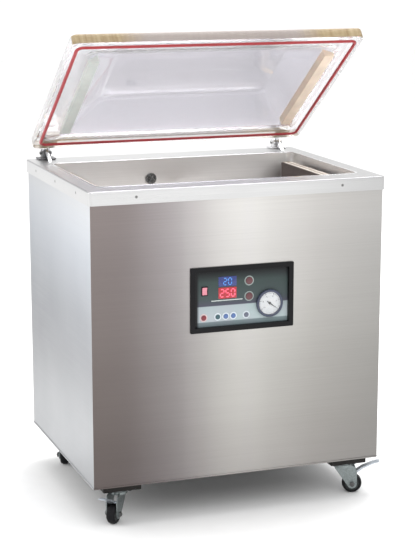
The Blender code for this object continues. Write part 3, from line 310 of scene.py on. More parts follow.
HOSE = moulded("hose", (0.62, 0.62, 0.60), 0.45, 300.0, 0.1)
PRINT_PALE = print_ink("print_pale", (0.55, 0.60, 0.58))
HALO_PINK = print_ink("halo_pink", (0.72, 0.52, 0.52))
HALO_PALE = print_ink("halo_pale", (0.62, 0.68, 0.73))
HALO_DARK = print_ink("halo_dark", (0.26, 0.30, 0.29))
KEY_RED = key_cap("key_red", (0.20, 0.014, 0.026))
KEY_TEAL = key_cap("key_teal", (0.025, 0.080, 0.10))
KEY_BLUE = key_cap("key_blue", (0.075, 0.14, 0.33))
KEY_GREY = key_cap("key_grey", (0.11, 0.12, 0.17))
KEY_MAROON = key_cap("key_maroon", (0.10, 0.028, 0.034))
LAMP_PINK = lit_film("lamp_pink", (0.55, 0.19, 0.24), 0.2)
SCREEN_BLUE = lit_film("screen_blue", (0.012, 0.024, 0.14), 0.2)
SCREEN_RED = lit_film("screen_red", (0.30, 0.010, 0.018), 0.5)
DIGIT_BLUE = lit_film("digit_blue", (0.05, 0.20, 0.55), 0.5)
DIGIT_RED = lit_film("digit_red", (0.95, 0.10, 0.17), 0.8)


def fascia_film():
    """The printed film of the control panel: a dark field, a pale band for the keys, a teal foot and
    painted shadow.
    """
    made, tree, shader = new_material("fascia_film", Specular_IOR_Level=0.2)
    place = position(tree)
    level = remap(tree, place["Z"], FASCIA_LOW.z, FASCIA_HIGH.z, 0.0, 1.0)
    band_top = 0.365
    stops = (
        (0.0, (0.16, 0.20, 0.21)),
        (0.080, (0.18, 0.22, 0.23)),
        (0.090, (0.44, 0.49, 0.50)),
        (band_top, (0.38, 0.43, 0.44)),
        (band_top + 0.01, (0.082, 0.080, 0.108)),
        (0.50, (0.062, 0.080, 0.080)),
        (0.80, (0.046, 0.064, 0.060)),
        # From here up the field darkens towards its top: painted shadow of the bezel.
        (0.90, (0.026, 0.032, 0.032)),
        (1.0, (0.010, 0.010, 0.011)),
    )
    print_and_shadow_colour = colour_ramp(tree, level, stops, "LINEAR")
    dye = noise(tree, (30.0, 30.0, 30.0), 2.0)
    shade = blend_colours(tree, dye, (0.86, 1.0, 0.96), (1.0, 0.92, 1.0))
    tinted = blend_colours(tree, 1.0, print_and_shadow_colour, shade, "MULTIPLY")
    # A nearly black margin along the left edge: print, with the bezel's shadow painted into it.
    shadow_margin_start, shadow_margin_end = FASCIA_LOW.x + 0.0065, FASCIA_LOW.x + 0.0125
    reach = remap(tree, place["X"], shadow_margin_start, shadow_margin_end, 0.0, 1.0)
    shadow_margined = blend_colours(tree, reach, (0.010, 0.010, 0.011), tinted)
    join(shader, "Base Color", shadow_margined)
    skin = noise(tree, (1200.0,) * 3, 2.0)
    join(shader, "Roughness", remap(tree, skin, 0.3, 0.7, 0.30, 0.42))
    bump(tree, shader, skin, 0.05, 0.0001)
    return made


def acrylic_edge():
    """The lid's sawn front and rear edges: frosted, pinkish in the middle and amber towards both ends."""
    made, tree, shader = new_material("acrylic_edge", Transmission_Weight=0.25, IOR=1.49, Roughness=0.4)
    amber_start, amber_full, wander = 0.215, 0.285, 0.05
    saw = noise(tree, (90.0, 12.0, 12.0), 4.0, 0.6)
    from_middle = compute(tree, "ABSOLUTE", position(tree)["X"])
    ragged = compute(tree, "MULTIPLY_ADD", saw, wander, from_middle)
    ends = remap(tree, ragged, amber_start, amber_full, 0.0, 1.0)
    streaks = remap(tree, saw, 0.35, 0.65, 0.0, 1.0)
    amber = blend_colours(tree, streaks, (0.25, 0.165, 0.07), (0.39, 0.30, 0.165))
    middle = blend_colours(tree, saw, (0.29, 0.24, 0.22), (0.38, 0.33, 0.305))
    join(shader, "Base Color", blend_colours(tree, ends, middle, amber))
    bump(tree, shader, saw, 0.2, 0.0004)
    return made


def paint_reflections_and_shade(paint, *reflection_ramps):
    """Multiplies a steel's colour by slow changes of tone: painted reflections and painted shade of a
    room's soft light.

    Each ramp is an axis, the places where it starts and ends, and its (share, colour) stops.
    """
    tree = paint.node_tree
    shader = tree.nodes["Principled BSDF"]
    for axis, low, high, stops in reflection_ramps:
        base = shader.inputs["Base Color"].links[0].from_socket
        share = remap(tree, position(tree)[axis], low, high, 0.0, 1.0)
        tone = colour_ramp(tree, share, stops, "CARDINAL")
        join(shader, "Base Color", blend_colours(tree, 1.0, base, tone, "MULTIPLY"))


# Tone stops for the painted reflections and shade: the share of the way across, up or back, and the colour
# there.
ACROSS_FRONT = (
    (0.0, (0.345, 0.305, 0.300)),
    (0.15, (0.385, 0.350, 0.355)),
    (0.30, (0.60, 0.575, 0.59)),
    (0.39, (0.82, 0.81, 0.81)),
    (0.50, (1.0, 1.0, 0.99)),
    (0.60, (0.94, 0.94, 0.93)),
    (0.76, (0.78, 0.775, 0.765)),
    (1.0, (0.64, 0.64, 0.635)),
)
UP_FRONT = (
    (0.0, (0.50, 0.49, 0.485)),
    (0.20, (0.545, 0.54, 0.53)),
    (0.48, (0.68, 0.68, 0.67)),
    (0.80, (0.87, 0.87, 0.87)),
    (1.0, (1.03, 1.03, 1.03)),
)
UP_SIDE = (
    (0.0, (0.62, 0.62, 0.62)),
    (0.22, (0.56, 0.56, 0.56)),
    (0.42, (0.44, 0.44, 0.45)),
    (0.62, (0.53, 0.54, 0.56)),
    (0.82, (0.82, 0.84, 0.87)),
    (1.0, (1.05, 1.05, 1.05)),
)
ALONG_SIDE = ((0.0, (1.0, 1.0, 1.0)), (0.5, (0.90, 0.90, 0.90)), (1.0, (0.80, 0.80, 0.80)))
ACROSS_DECK = ((0.0, (0.94, 0.94, 0.94)), (0.55, (1.0, 1.0, 1.0)), (1.0, (0.76, 0.76, 0.76)))
# Painted reflections and shade on the front panel, both side panels and the deck.
paint_reflections_and_shade(
    FRONT_STEEL,
    ("X", PANEL_LOW.x, PANEL_HIGH.x, ACROSS_FRONT),
    ("Z", PANEL_LOW.z, PANEL_HIGH.z, UP_FRONT),
)
paint_reflections_and_shade(
    SIDE_STEEL,
    ("Z", PANEL_LOW.z, PANEL_HIGH.z, UP_SIDE),
    ("Y", PANEL_LOW.y, -PANEL_LOW.y, ALONG_SIDE),
)
paint_reflections_and_shade(DECK_STEEL, ("X", DECK_LOW.x, DECK_HIGH.x, ACROSS_DECK))


def paint_fold_reflection(paint, reach_x, reach_y, level):
    """Paints a dark reflection on the deck's outer fold, in a narrow line along its top edges."""
    tree = paint.node_tree
    shader = tree.nodes["Principled BSDF"]
    base = shader.inputs["Base Color"].links[0].from_socket
    place = position(tree)
    edges = []
    for axis, reach in (("X", reach_x), ("Y", reach_y)):
        distance = compute(tree, "ABSOLUTE", place[axis])
        edges.append(remap(tree, distance, reach - 4.5 * MM, reach - 1.5 * MM, 0.0, 1.0))
    near_top = remap(tree, place["Z"], level - 3.0 * MM, level - 1.0 * MM, 0.0, 1.0)
    line = compute(tree, "MULTIPLY", compute(tree, "MAXIMUM", *edges), near_top)
    fold_reflected = blend_colours(tree, line, base, (0.34, 0.34, 0.35))
    join(shader, "Base Color", fold_reflected)


# Painted reflection: a dark line along the deck's outer fold.
paint_fold_reflection(DECK_STEEL, DECK_HIGH.x, DECK_HIGH.y, DECK_Z)
FASCIA_FILM = fascia_film()
EDGE_ACRYLIC = acrylic_edge()
FROSTED_ACRYLIC = moulded("acrylic_sawn", (0.86, 0.855, 0.87), 0.40, 160.0, 0.15, 0.05)
set_inputs(FROSTED_ACRYLIC, Transmission_Weight=0.45, Alpha=0.6)


# ---- modelling


def add_object(name, data):
    made = bpy.data.objects.new(name, data)
    bpy.context.scene.collection.objects.link(made)
    return made


def piece(name, bm, paints, body, sharp=35):
    """Makes a mesh piece from a bmesh, smooth apart from its sharp edges, riding on a CAD body."""
    bmesh.ops.recalc_face_normals(bm, faces=bm.faces)
    mesh = bpy.data.meshes.new(name)
    bm.to_mesh(mesh)
    bm.free()
    mesh.shade_smooth()
    mesh.set_sharp_from_angle(angle=math.radians(sharp))
    for paint in paints if isinstance(paints, list) else [paints]:
        mesh.materials.append(paint)
    made = add_object(name, mesh)
    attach(made, body)
    return made


def loft(bm, rings, closed=False, caps=True):
    """Joins rings of points, all with the same count, into one skin; returns its faces ring by ring."""
    verts = [[bm.verts.new(point) for point in ring] for ring in rings]
    bands = []
    pairs = list(zip(verts, verts[1:])) + ([(verts[-1], verts[0])] if closed else [])
    steps = [(i, (i + 1) % len(verts[0])) for i in range(len(verts[0]))]
    for one, other in pairs:
        bands.append([bm.faces.new((one[i], one[j], other[j], other[i])) for i, j in steps])
    if caps and not closed:
        bm.faces.new(verts[0])
        bm.faces.new(list(reversed(verts[-1])))
    return bands


def rectangle_ring(left, right, front, back, radius, height, steps=6, cuts=6):
    """Points round a rectangle with round corners, its straight sides cut into even lengths."""
    corners = (
        (right - radius, front + radius, -90),
        (right - radius, back - radius, 0),
        (left + radius, back - radius, 90),
        (left + radius, front + radius, 180),
    )
    turns = []
    for x, y, start in corners:
        for i in range(steps + 1):
            angle = math.radians(start + 90 * i / steps)
            turns.append((x + radius * math.cos(angle), y + radius * math.sin(angle)))
    points = []
    for i, point in enumerate(turns):
        points.append(Vector((*point, height)))
        if (i + 1) % (steps + 1) == 0:
            after = turns[(i + 1) % len(turns)]
            start, end = Vector((*point, height)), Vector((*after, height))
            points += [start.lerp(end, k / cuts) for k in range(1, cuts)]
    return points


def round_ring(size, level, count):
    """Points round a circle about Z."""
    turns = [math.tau * i / count for i in range(count)]
    return [Vector((size * math.cos(a), size * math.sin(a), level)) for a in turns]


def hexagon_ring(size, level, count, rounding=0.0):
    """Points round a hexagon about Z, with a share of its corners turned off."""
    points = []
    for i in range(count):
        a = math.tau * i / count
        flat = size * math.cos(math.pi / 6) / math.cos((a % (math.pi / 3)) - math.pi / 6)
        reach = flat * (1 - rounding) + min(flat, size * 0.9) * rounding
        points.append(Vector((reach * math.cos(a), reach * math.sin(a), level)))
    return points


def turned(profile, steps=40):
    """A bmesh turned about Z from (radius, height) points; a zero radius closes an end."""
    bm = bmesh.new()
    rings = []
    for radius, height in profile:
        circle = [Vector((0, 0, height))] if radius < 1e-7 else round_ring(radius, height, steps)
        rings.append([bm.verts.new(point) for point in circle])
    for one, other in zip(rings, rings[1:]):
        for i in range(steps):
            j = (i + 1) % steps
            if len(one) == 1:
                bm.faces.new((one[0], other[i], other[j]))
            elif len(other) == 1:
                bm.faces.new((one[i], one[j], other[0]))
            else:
                bm.faces.new((one[i], one[j], other[j], other[i]))
    return bm


def set_at(bm, place, axis=Z, spin=0.0):
    """Turns a bmesh's +Z to an axis, after a spin about it, and moves it to a place."""
    turn = Z.rotation_difference(Vector(axis)).to_matrix().to_4x4()
    matrix = Matrix.Translation(place) @ turn @ Matrix.Rotation(spin, 4, "Z")
    bmesh.ops.transform(bm, matrix=matrix, verts=bm.verts)
    return bm


def merged(*parts):
    """One bmesh holding all the given ones."""
    whole = bmesh.new()
    for part in parts:
        mesh = bpy.data.meshes.new("part")
        part.to_mesh(mesh)
        part.free()
        whole.from_mesh(mesh)
        bpy.data.meshes.remove(mesh)
    return whole


def block(low, high, radius, segments=3):
    """A box with rounded edges."""
    low, high = Vector(low), Vector(high)
    bm = bmesh.new()
    bmesh.ops.create_cube(bm, size=1.0)
    bmesh.ops.scale(bm, vec=high - low, verts=bm.verts)
    bmesh.ops.translate(bm, vec=(low + high) / 2, verts=bm.verts)
    bmesh.ops.bevel(bm, geom=bm.edges[:], offset=radius, segments=segments, profile=0.5, affect="EDGES")
    return bm


def cap_screw(radius, height, recess=0.5, sides=28):
    """A button-head screw with a hexagon recess; its seat is at z 0."""
    bm = bmesh.new()
    rings = [round_ring(radius, 0.0, sides)]
    for t in (0.0, 0.35, 0.7, 0.95):
        rings.append(round_ring(radius * math.cos(t), height * (0.25 + 0.75 * math.sin(t)), sides))
    rings += [hexagon_ring(radius * recess, level, sides) for level in (height, height * 0.35)]
    loft(bm, rings)
    return bm


def hex_head(radius, height):
    """A hexagon bolt head with its corners turned off; its seat is at z 0."""
    bm = bmesh.new()
    rows = ((1.0, 0.0, 0), (1.0, 0.8, 0), (0.97, 0.93, 1), (0.82, 1.0, 1))
    loft(bm, [hexagon_ring(radius * wide, height * tall, 24, round_off) for wide, tall, round_off in rows])
    return bm


def refine(obj, width, paint, segments=2):
    """Gives a CAD node its material, rounds its sharp edges a little and smooths its shading."""
    mesh = obj.data
    if "custom_normal" in mesh.attributes:
        mesh.attributes.remove(mesh.attributes["custom_normal"])
    mesh.shade_smooth()
    weld = obj.modifiers.new("weld", "WELD")
    weld.merge_threshold = 0.00001
    tidy = obj.modifiers.new("flat_faces", "DECIMATE")
    tidy.decimate_type = "DISSOLVE"
    tidy.angle_limit = math.radians(0.6)
    if width:
        soft = obj.modifiers.new("edges", "BEVEL")
        soft.width = width
        soft.segments = segments
        soft.limit_method = "ANGLE"
        soft.angle_limit = math.radians(33)
    shading = obj.modifiers.new("shading", "WEIGHTED_NORMAL")
    shading.weight = 80
    for holder in obj.material_slots:
        holder.material = paint


def finish_nodes(names, paint, width=0.0, segments=2):
    for name in names:
        refine(NODES[name], width, paint, segments)


# ---- cabinet


def cabinet():
    finish_nodes(["front_panel"], FRONT_STEEL, 0.0004)
    finish_nodes(["left_panel", "right_panel"], SIDE_STEEL, 0.0004)
    finish_nodes(["rear_panel"], REAR_STEEL_SHADED, 0.0004)
    finish_nodes(["top_plate"], DECK_STEEL, 0.0003)
    finish_nodes(["base_frame"], DARK_STEEL, 0.0006)
    finish_nodes(["rear_crossbar"], ZINC, 0.0005)
    finish_nodes(["suction_grille"], GRILLE_GREY, 0.0004)
    finish_nodes(["chamber_tub"], TUB_STEEL, 0.0004)


def deck_screws():
    """The small screws that hold the deck's rim to the cabinet."""
    drop = DECK_Z - DECK_SIZE.z / 2
    pitch, reach = DECK_SIZE.y * 0.318, DECK_SIZE.x * 0.347
    spots = []
    for y, axis in ((DECK_LOW.y, -Y), (DECK_HIGH.y, Y)):
        spots += [(Vector((side * reach, y, drop)), axis) for side in (-1, 1)]
    for step in (-1, 0, 1):
        for x, axis in ((DECK_LOW.x, -X), (DECK_HIGH.x, X)):
            spots.append((Vector((x, step * pitch, drop)), axis))
    for index, (place, axis) in enumerate(spots):
        flush_screw(f"deck_screw_{index}", place, axis, 3.6 * MM)


def flush_screw(name, place, axis, radius):
    """A countersunk screw whose head lies all but level with the sheet, with a dark hexagon in it."""
    rise, sunk, above = 0.12 * MM, -0.2 * MM, 0.15 * MM
    profile = [(0.0, rise), (radius * 0.86, rise), (radius, 0.03 * MM), (radius, sunk), (0.0, sunk)]
    piece(name, set_at(turned(profile, 32), place, axis), SCREW_STEEL, "cabinet")
    recess = turned([(0.0, above), (radius * 0.5, above), (radius * 0.5, 0.0), (0.0, 0.0)], 6)
    piece(f"{name}_recess", set_at(recess, place, axis), BOLT_STEEL, "cabinet")


def chamber_lip():
    """The polished bead where the chamber's edge rolls over onto the deck."""
    radius, inset = 0.022, 2.5
    section = [(-3.0, 0.05), (-2.4, 0.55), (-1.0, 0.85), (0.6, 0.80), (2.0, 0.40), (2.9, 0.05)]
    bm = bmesh.new()
    rings = []
    for offset, height in section:
        shrink = (inset - offset) * MM
        across = (TUB_LOW.x + shrink, TUB_HIGH.x - shrink)
        deep = (TUB_LOW.y + shrink, TUB_HIGH.y - shrink)
        rings.append(rectangle_ring(*across, *deep, radius + offset * MM, DECK_Z + height * MM))
    loft(bm, rings, closed=True)
    piece("chamber_lip", bm, LIP_STEEL, "cabinet", 60)


def panel_hems():
    """The folded lower edges of the panels, which catch the light."""
    depth, low, high = 1.4 * MM, PANEL_LOW.z + 0.2 * MM, PANEL_LOW.z + 4.0 * MM
    x, y, inset = PANEL_HIGH.x, PANEL_LOW.y, 0.002
    ends = {
        "side_hem_0": ((-x - depth, -x), (y + inset, -y - inset), SIDE_STEEL),
        "side_hem_2": ((x, x + depth), (y + inset, -y - inset), SIDE_STEEL),
        "front_hem": ((inset - x, x - inset), (y - depth, y), FRONT_STEEL),
        "rear_hem": ((inset - x, x - inset), (-y, -y + depth), REAR_STEEL_SHADED),
    }
    for name, (across, deep, paint) in ends.items():
        hem = block((across[0], deep[0], low), (across[1], deep[1], high), 0.6 * MM)
        piece(name, hem, paint, "cabinet")


def rear_screws():
    """The rear panel's screws."""
    inset, face = 0.012, -PANEL_LOW.y
    spots = [(x, z) for x in (-1, 0, 1) for z in (0, 1)] + [(x, 0.5) for x in (-1, 1)]
    low, high = PANEL_LOW.z + inset, PANEL_HIGH.z - 0.035
    for index, (x, z) in enumerate(spots):
        place = Vector((x * (PANEL_HIGH.x - inset), face, low + (high - low) * z))
        screw = set_at(cap_screw(4 * MM, 1.8 * MM), place, Y)
        piece(f"rear_screw_{index}", screw, SCREW_STEEL, "cabinet")


# ---- chamber and seal bars


def seal_bars():
    """The bars' heating wires under their tape, and the clamps that hold the wires at both ends."""
    end_gap, tape_gap, side_gap = 0.006, 0.012, 0.0026
    wire_x, wire_reach, wire_rise = 0.0078, 0.0024, 0.00033
    clamp_x, clamp_y = 0.011, 0.0048
    half_turn = [math.pi * k / 6 for k in range(7)]
    for word, _ in SIDES:
        name, body = f"seal_bar_{word}", f"bar_{word}"
        low, high, middle, size = span(name)
        top, half = high.z, size.x / 2 - side_gap
        refine(NODES[name], 0.0004, BAR_BROWN)
        tape_low = (middle.x - half, low.y + tape_gap, top - 0.0002)
        tape_high = (middle.x + half, high.y - tape_gap, top + 0.00012)
        tape = block(tape_low, tape_high, 0.0001, 1)
        piece(f"bar_tape_{word}", tape, PTFE_TAPE, body)
        for line, offset in enumerate((-wire_x, wire_x)):
            strip = bmesh.new()
            x = middle.x + offset
            rings = []
            for y in [low.y + end_gap + (size.y - 2 * end_gap) * i / 12 for i in range(13)]:
                arc = [(wire_reach * math.cos(a), wire_rise * math.sin(a)) for a in half_turn]
                rings.append([Vector((x + across, y, top + up)) for across, up in arc])
            loft(strip, rings)
            piece(f"seal_wire_{word}_{line}", strip, CREAM_TAPE, body, 60)
        for end, y in enumerate((low.y + end_gap, high.y - end_gap)):
            clamp_low = (middle.x - clamp_x, y - clamp_y, top - 0.0030)
            clamp_high = (middle.x + clamp_x, y + clamp_y, top + 0.00015)
            clamp = block(clamp_low, clamp_high, 0.0001, 1)
            piece(f"wire_clamp_{word}_{end}", clamp, BRASS, body)
        refine(NODES[f"bar_lift_{word}"], 0.0006, ALUMINIUM)


# ---- lid

# The closed lid, measured from the hinge: half its width, its depth, where its front edge and its
# underside are, the flange's thickness, and the tops of the dome and of its hollow.
LID_HALF = 0.3724
LID_DEPTH = 0.508
LID_FRONT = -0.5532
LID_BOTTOM = -0.011
LID_RIM = 0.025
ROOF_TOP = LID_BOTTOM + 0.0635
CAVITY_TOP = LID_BOTTOM + 0.047


def lid_ring(half, start, end, radius, height):
    """A ring in the lid's own frame; start and end are measured back from its front edge."""
    points = rectangle_ring(-half, half, LID_FRONT + start, LID_FRONT + end, radius, height)
    return [LID_FRAME @ point for point in points]


def flange_row(inset, radius, height):
    """What lid_ring needs for a ring set in from the flange's edge by the same amount all round."""
    return (LID_HALF - inset, inset, LID_DEPTH - inset, radius, height)


def softened(path, share, steps=5):
    """A path of tuples with every inner corner replaced by a short curve."""
    points = [Vector(p) for p in path]
    route = [points[0]]
    for before, corner, after in zip(points, points[1:], points[2:]):
        start, end = corner.lerp(before, share), corner.lerp(after, share)
        for i in range(steps + 1):
            t = i / steps
            route.append(start.lerp(corner, t).lerp(corner.lerp(end, t), t))
    route.append(points[-1])
    return route


def lid():
    """The clear lid: a thick flange with sawn edges and a hipped dome that is hollow underneath."""
    top = LID_BOTTOM + LID_RIM
    outside = [
        flange_row(0.0008, 0.0172, LID_BOTTOM),
        flange_row(0.0, 0.018, LID_BOTTOM + 0.0008),
        flange_row(0.0, 0.018, top - 0.003),
        flange_row(0.0009, 0.0171, top - 0.0009),
        flange_row(0.003, 0.015, top),
    ]
    wall = [
        flange_row(0.010, 0.018, top),
        (0.318, 0.056, 0.465, 0.026, top),
        (0.2295, 0.122, 0.351, 0.022, ROOF_TOP),
        (0.200, 0.150, 0.325, 0.020, ROOF_TOP),
    ]
    cavity = [
        (0.190, 0.160, 0.315, 0.016, CAVITY_TOP),
        (0.222, 0.130, 0.345, 0.020, CAVITY_TOP),
        (0.325, 0.045, 0.478, 0.024, LID_BOTTOM),
        flange_row(0.012, 0.020, LID_BOTTOM),
    ]
    rings = [lid_ring(*row) for row in [*outside, *softened(wall, 0.14)]]
    under = [lid_ring(*row) for row in softened(cavity, 0.12)]
    bm = bmesh.new()
    outer_bands = loft(bm, rings, caps=False)
    inner_bands = loft(bm, under, caps=False)
    bm.verts.ensure_lookup_table()
    count = len(rings[0])
    start = count * len(rings)
    first_outer, last_outer = bm.verts[:count], bm.verts[start - count : start]
    first_inner, last_inner = bm.verts[start : start + count], bm.verts[-count:]
    for i in range(count):
        j = (i + 1) % count
        bm.faces.new((last_inner[i], last_inner[j], first_outer[j], first_outer[i]))
    bm.faces.new(last_outer)
    bm.faces.new(first_inner)
    dome, rim, amber, frosted = range(4)
    paints = [DOME_ACRYLIC, RIM_ACRYLIC, EDGE_ACRYLIC, FROSTED_ACRYLIC]
    for face in bm.faces:
        face.material_index = rim if len(face.verts) == 4 else dome
    flange_bands, curve_bands = len(outside) - 1, 6
    for band in outer_bands[flange_bands + 1 :] + inner_bands[:-curve_bands]:
        for face in band:
            face.material_index = dome
    front = LID_FRAME.to_3x3() @ -Y
    for band in outer_bands[:flange_bands]:
        for face in band:
            face.normal_update()
            face.material_index = amber if abs(face.normal.dot(front)) > 0.5 else frosted
    made = piece("lid_acrylic", bm, paints, "lid", 50)
    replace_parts(made, "lid_shell")


def lid_seal():
    """The silicone seal, a half-round cord pressed into the underside of the flange."""
    half, front, back, corner = 0.3555, 0.0203, 0.4849, 0.014
    width, depth = 4.3 * MM, 4.4 * MM
    seat = LID_BOTTOM - 0.0002
    bm = bmesh.new()
    rings = []
    for a in [math.pi * k / 8 for k in range(9)]:
        out, height = width * math.cos(a), seat - depth * math.sin(a)
        rings.append(lid_ring(half + out, front - out, back + out, corner + out, height))
    loft(bm, rings, closed=True)
    made = piece("seal_cord", bm, RED_SILICONE, "lid", 80)
    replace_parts(made, "lid_seal")


def lid_fittings():
    """The counter bars' and hinges' finishes, the screws of the hinge arms and the caps of the pins."""
    refine(NODES["counter_bar_left"], 0.0008, GREEN_SILICONE, 3)
    refine(NODES["counter_bar_right"], 0.0008, TAN_SILICONE, 3)
    up = LID_FRAME.to_3x3() @ Z
    hinge_x, pin_end, leaf = 0.325, 0.0146, LID_BOTTOM + LID_RIM + 0.0043
    holes = ((-0.013, 0.478), (0.013, 0.478), (-0.013, 0.497), (0.013, 0.497))
    for word, side in SIDES:
        refine(NODES[f"hinge_arm_{word}"], 0.0005, CHROME)
        # Left base dark steel, right base chrome: one finish, with painted shade on the left one.
        refine(NODES[f"hinge_base_{word}"], 0.0005, HINGE_STEEL_SHADED if side < 0 else CHROME)
        x = side * hinge_x
        for index, (across, back) in enumerate(holes):
            place = LID_FRAME @ Vector((x + across, LID_FRONT + back, leaf))
            screw = set_at(cap_screw(3.4 * MM, 1.9 * MM), place, up)
            piece(f"hinge_screw_{word}_{index}", screw, CHROME, "lid")
        for index, end in enumerate((-1, 1)):
            cap = set_at(cap_screw(4.2 * MM, 1.6 * MM, 0.45), HINGE + X * (x + end * pin_end), X * end)
            piece(f"pin_cap_{word}_{index}", cap, BOLT_STEEL, "cabinet")


# ---- control panel


def printed(name, low, high, paint, thickness, radius):
    """A thin rounded rectangle on the fascia, from (x, z) corners."""
    points = rectangle_ring(low[0], high[0], low[1], high[1], radius, 0.0, 5, 3)
    bm = bmesh.new()
    edge = thickness * 0.35
    middle = Vector(((low[0] + high[0]) / 2, (low[1] + high[1]) / 2, 0))
    shrink = 1 - 2 * edge / min(high[0] - low[0], high[1] - low[1])
    rings = []
    for depth, scale in ((0.0, 1.0), (thickness - edge, 1.0), (thickness, shrink)):
        flat = [middle + (point - middle) * scale for point in points]
        rings.append([Vector((p.x, FASCIA_LOW.y - depth, p.y)) for p in flat])
    loft(bm, rings)
    piece(name, bm, paint, "cabinet")


def ring_print(name, x, z, inner, outer, paint, thickness=0.00012):
    """A printed ring round a key."""
    profile = [(outer, 0.0), (outer, thickness), (inner, thickness), (inner, 0.0), (outer, 0.0)]
    bm = turned(profile, 40)
    bmesh.ops.remove_doubles(bm, verts=bm.verts, dist=1e-7)
    piece(name, set_at(bm, Vector((x, FASCIA_LOW.y, z)), -Y), paint, "cabinet")


SEGMENTS = {
    "a": ((-1, 2), (1, 2)), "b": ((1, 2), (1, 0)), "c": ((1, 0), (1, -2)), "d": ((-1, -2), (1, -2)),
    "e": ((-1, 0), (-1, -2)), "f": ((-1, 2), (-1, 0)), "g": ((-1, 0), (1, 0)),
}
DIGITS = {"0": "abcdef", "2": "abged", "5": "afgcd"}


def digits(name, text, x, z, height, paint, face):
    """Seven-segment figures, each bar a thin hexagon."""
    unit = height / 4
    thick = height * 0.075
    bm = bmesh.new()
    for place, figure in enumerate(text):
        origin = Vector((x + (place - (len(text) - 1) / 2) * height * 0.78, z))
        for bar in DIGITS[figure]:
            start, end = (Vector(p) * unit for p in SEGMENTS[bar])
            way = (end - start).normalized()
            start, end = start + way * thick * 0.7, end - way * thick * 0.7
            side = Vector((-way.y, way.x)) * thick
            outline = [start, start + way * thick + side, end - way * thick + side]
            outline += [end, end - way * thick - side, start + way * thick - side]
            rings = []
            for depth in (0.0, 0.00015):
                rings.append([Vector((origin.x + p.x, face - depth, origin.y + p.y)) for p in outline])
            loft(bm, rings)
    piece(name, bm, paint, "cabinet")


def control_panel():
    refine(NODES["control_bezel"], 0.0006, BLACK_PLASTIC, 3)
    refine(NODES["control_fascia"], 0.0, FASCIA_FILM)
    refine(NODES["control_box"], 0.0006, BLACK_PLASTIC)
    refine(NODES["power_switch"], 0.0004, LAMP_PINK)
    paints = (KEY_RED, KEY_TEAL, KEY_BLUE, KEY_BLUE, KEY_GREY, KEY_MAROON, KEY_MAROON)
    halos = (HALO_PINK, *[HALO_PALE] * 4, HALO_DARK, HALO_DARK)
    for name, paint, halo in zip(KEY_NAMES, paints, halos):
        refine(NODES[name], 0.0002, paint)
        _, _, middle, size = span(name)
        radius = size.x / 2
        ring_print(f"{name}_halo", middle.x, middle.z, radius + 0.0003, radius + 0.0030, halo)
    left, foot, screen = FASCIA_LOW.x, FASCIA_LOW.z, 0.0008
    screen_left, screen_right = left + 0.0612, left + 0.1073
    for name, low_z, high_z, paint, digit, text in (
        ("display_blue", foot + 0.0958, foot + 0.1198, SCREEN_BLUE, DIGIT_BLUE, "20"),
        ("display_red", foot + 0.0663, foot + 0.0933, SCREEN_RED, DIGIT_RED, "250"),
    ):
        printed(name, (screen_left, low_z), (screen_right, high_z), paint, screen, 0.0015)
        middle = ((screen_left + screen_right) / 2, (low_z + high_z) / 2)
        height = (high_z - low_z) * 0.66
        digits(f"{name}_figures", text, *middle, height, digit, FASCIA_LOW.y - screen)
    rule = ((left + 0.0434, foot + 0.0610), (left + 0.1230, foot + 0.0631))
    printed("fascia_rule", *rule, PRINT_PALE, 0.00012, 0.0009)
    _, _, switch, size = span("power_switch")
    outline = []
    for grow in (0.0022, 0.0004):
        x, z = size.x / 2 + grow, size.z / 2 + grow
        edges = (switch.x - x, switch.x + x, switch.z - z, switch.z + z)
        outline.append(rectangle_ring(*edges, 0.001, 0, 4, 2))
    outer, inner = outline
    bm = bmesh.new()
    rings = []
    for points, depth in ((outer, 0.0), (outer, 0.0010), (inner, 0.0010), (inner, 0.0)):
        rings.append([Vector((p.x, FASCIA_LOW.y - depth, p.y)) for p in points])
    loft(bm, rings, closed=True)
    piece("switch_bezel", bm, BLACK_PLASTIC, "cabinet")


def vacuum_gauge():
    """The gauge: a stepped dark rim, a white dial with its marks, and a thin glass."""
    low, high, middle, size = span("gauge_case")
    centre = Vector((middle.x, FASCIA_LOW.y, middle.z))
    rim, back, dial = FASCIA_LOW.y - low.y, FASCIA_LOW.y - high.y, 0.0030
    outer = size.x / 2
    inner, face = outer - 0.0062, dial + 0.00025
    profile = [(0.0, dial - 0.0001), (inner, dial - 0.0001), (inner, rim - 0.0016)]
    profile += [(inner + 0.0006, rim - 0.0006), (inner + 0.0016, rim), (outer - 0.0024, rim)]
    profile += [(outer - 0.0008, rim - 0.0008), (outer, rim - 0.0026), (outer, 0.0012)]
    profile += [(outer - 0.0006, 0.0003), (outer - 0.004, 0.0003), (outer - 0.004, back), (0.0, back)]
    case = set_at(turned(profile, 72), centre, -Y)
    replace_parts(piece("gauge_body", case, GAUGE_BLUE, "cabinet", 40), "gauge_case")
    disc = [(0.0, face), (inner - 0.0004, face), (inner - 0.0002, dial), (0.0, dial)]
    piece("gauge_dial", set_at(turned(disc, 72), centre, -Y), DIAL_PAINTED_GLOW, "cabinet")
    gauge_marks(centre, inner, face)
    lens = [(0.0, rim - 0.0009), (inner * 0.6, rim - 0.0010), (inner - 0.0001, rim - 0.0018)]
    lens += [(inner - 0.0001, rim - 0.0026), (0.0, rim - 0.0020)]
    piece("gauge_lens", set_at(turned(lens, 72), centre, -Y), GLASS, "cabinet")
    refine(NODES["gauge_needle"], 0.0001, INK)


def spoke(degrees):
    """A direction in the dial's plane, anticlockwise from its right."""
    angle = math.radians(degrees)
    return Vector((math.cos(angle), 0, math.sin(angle)))


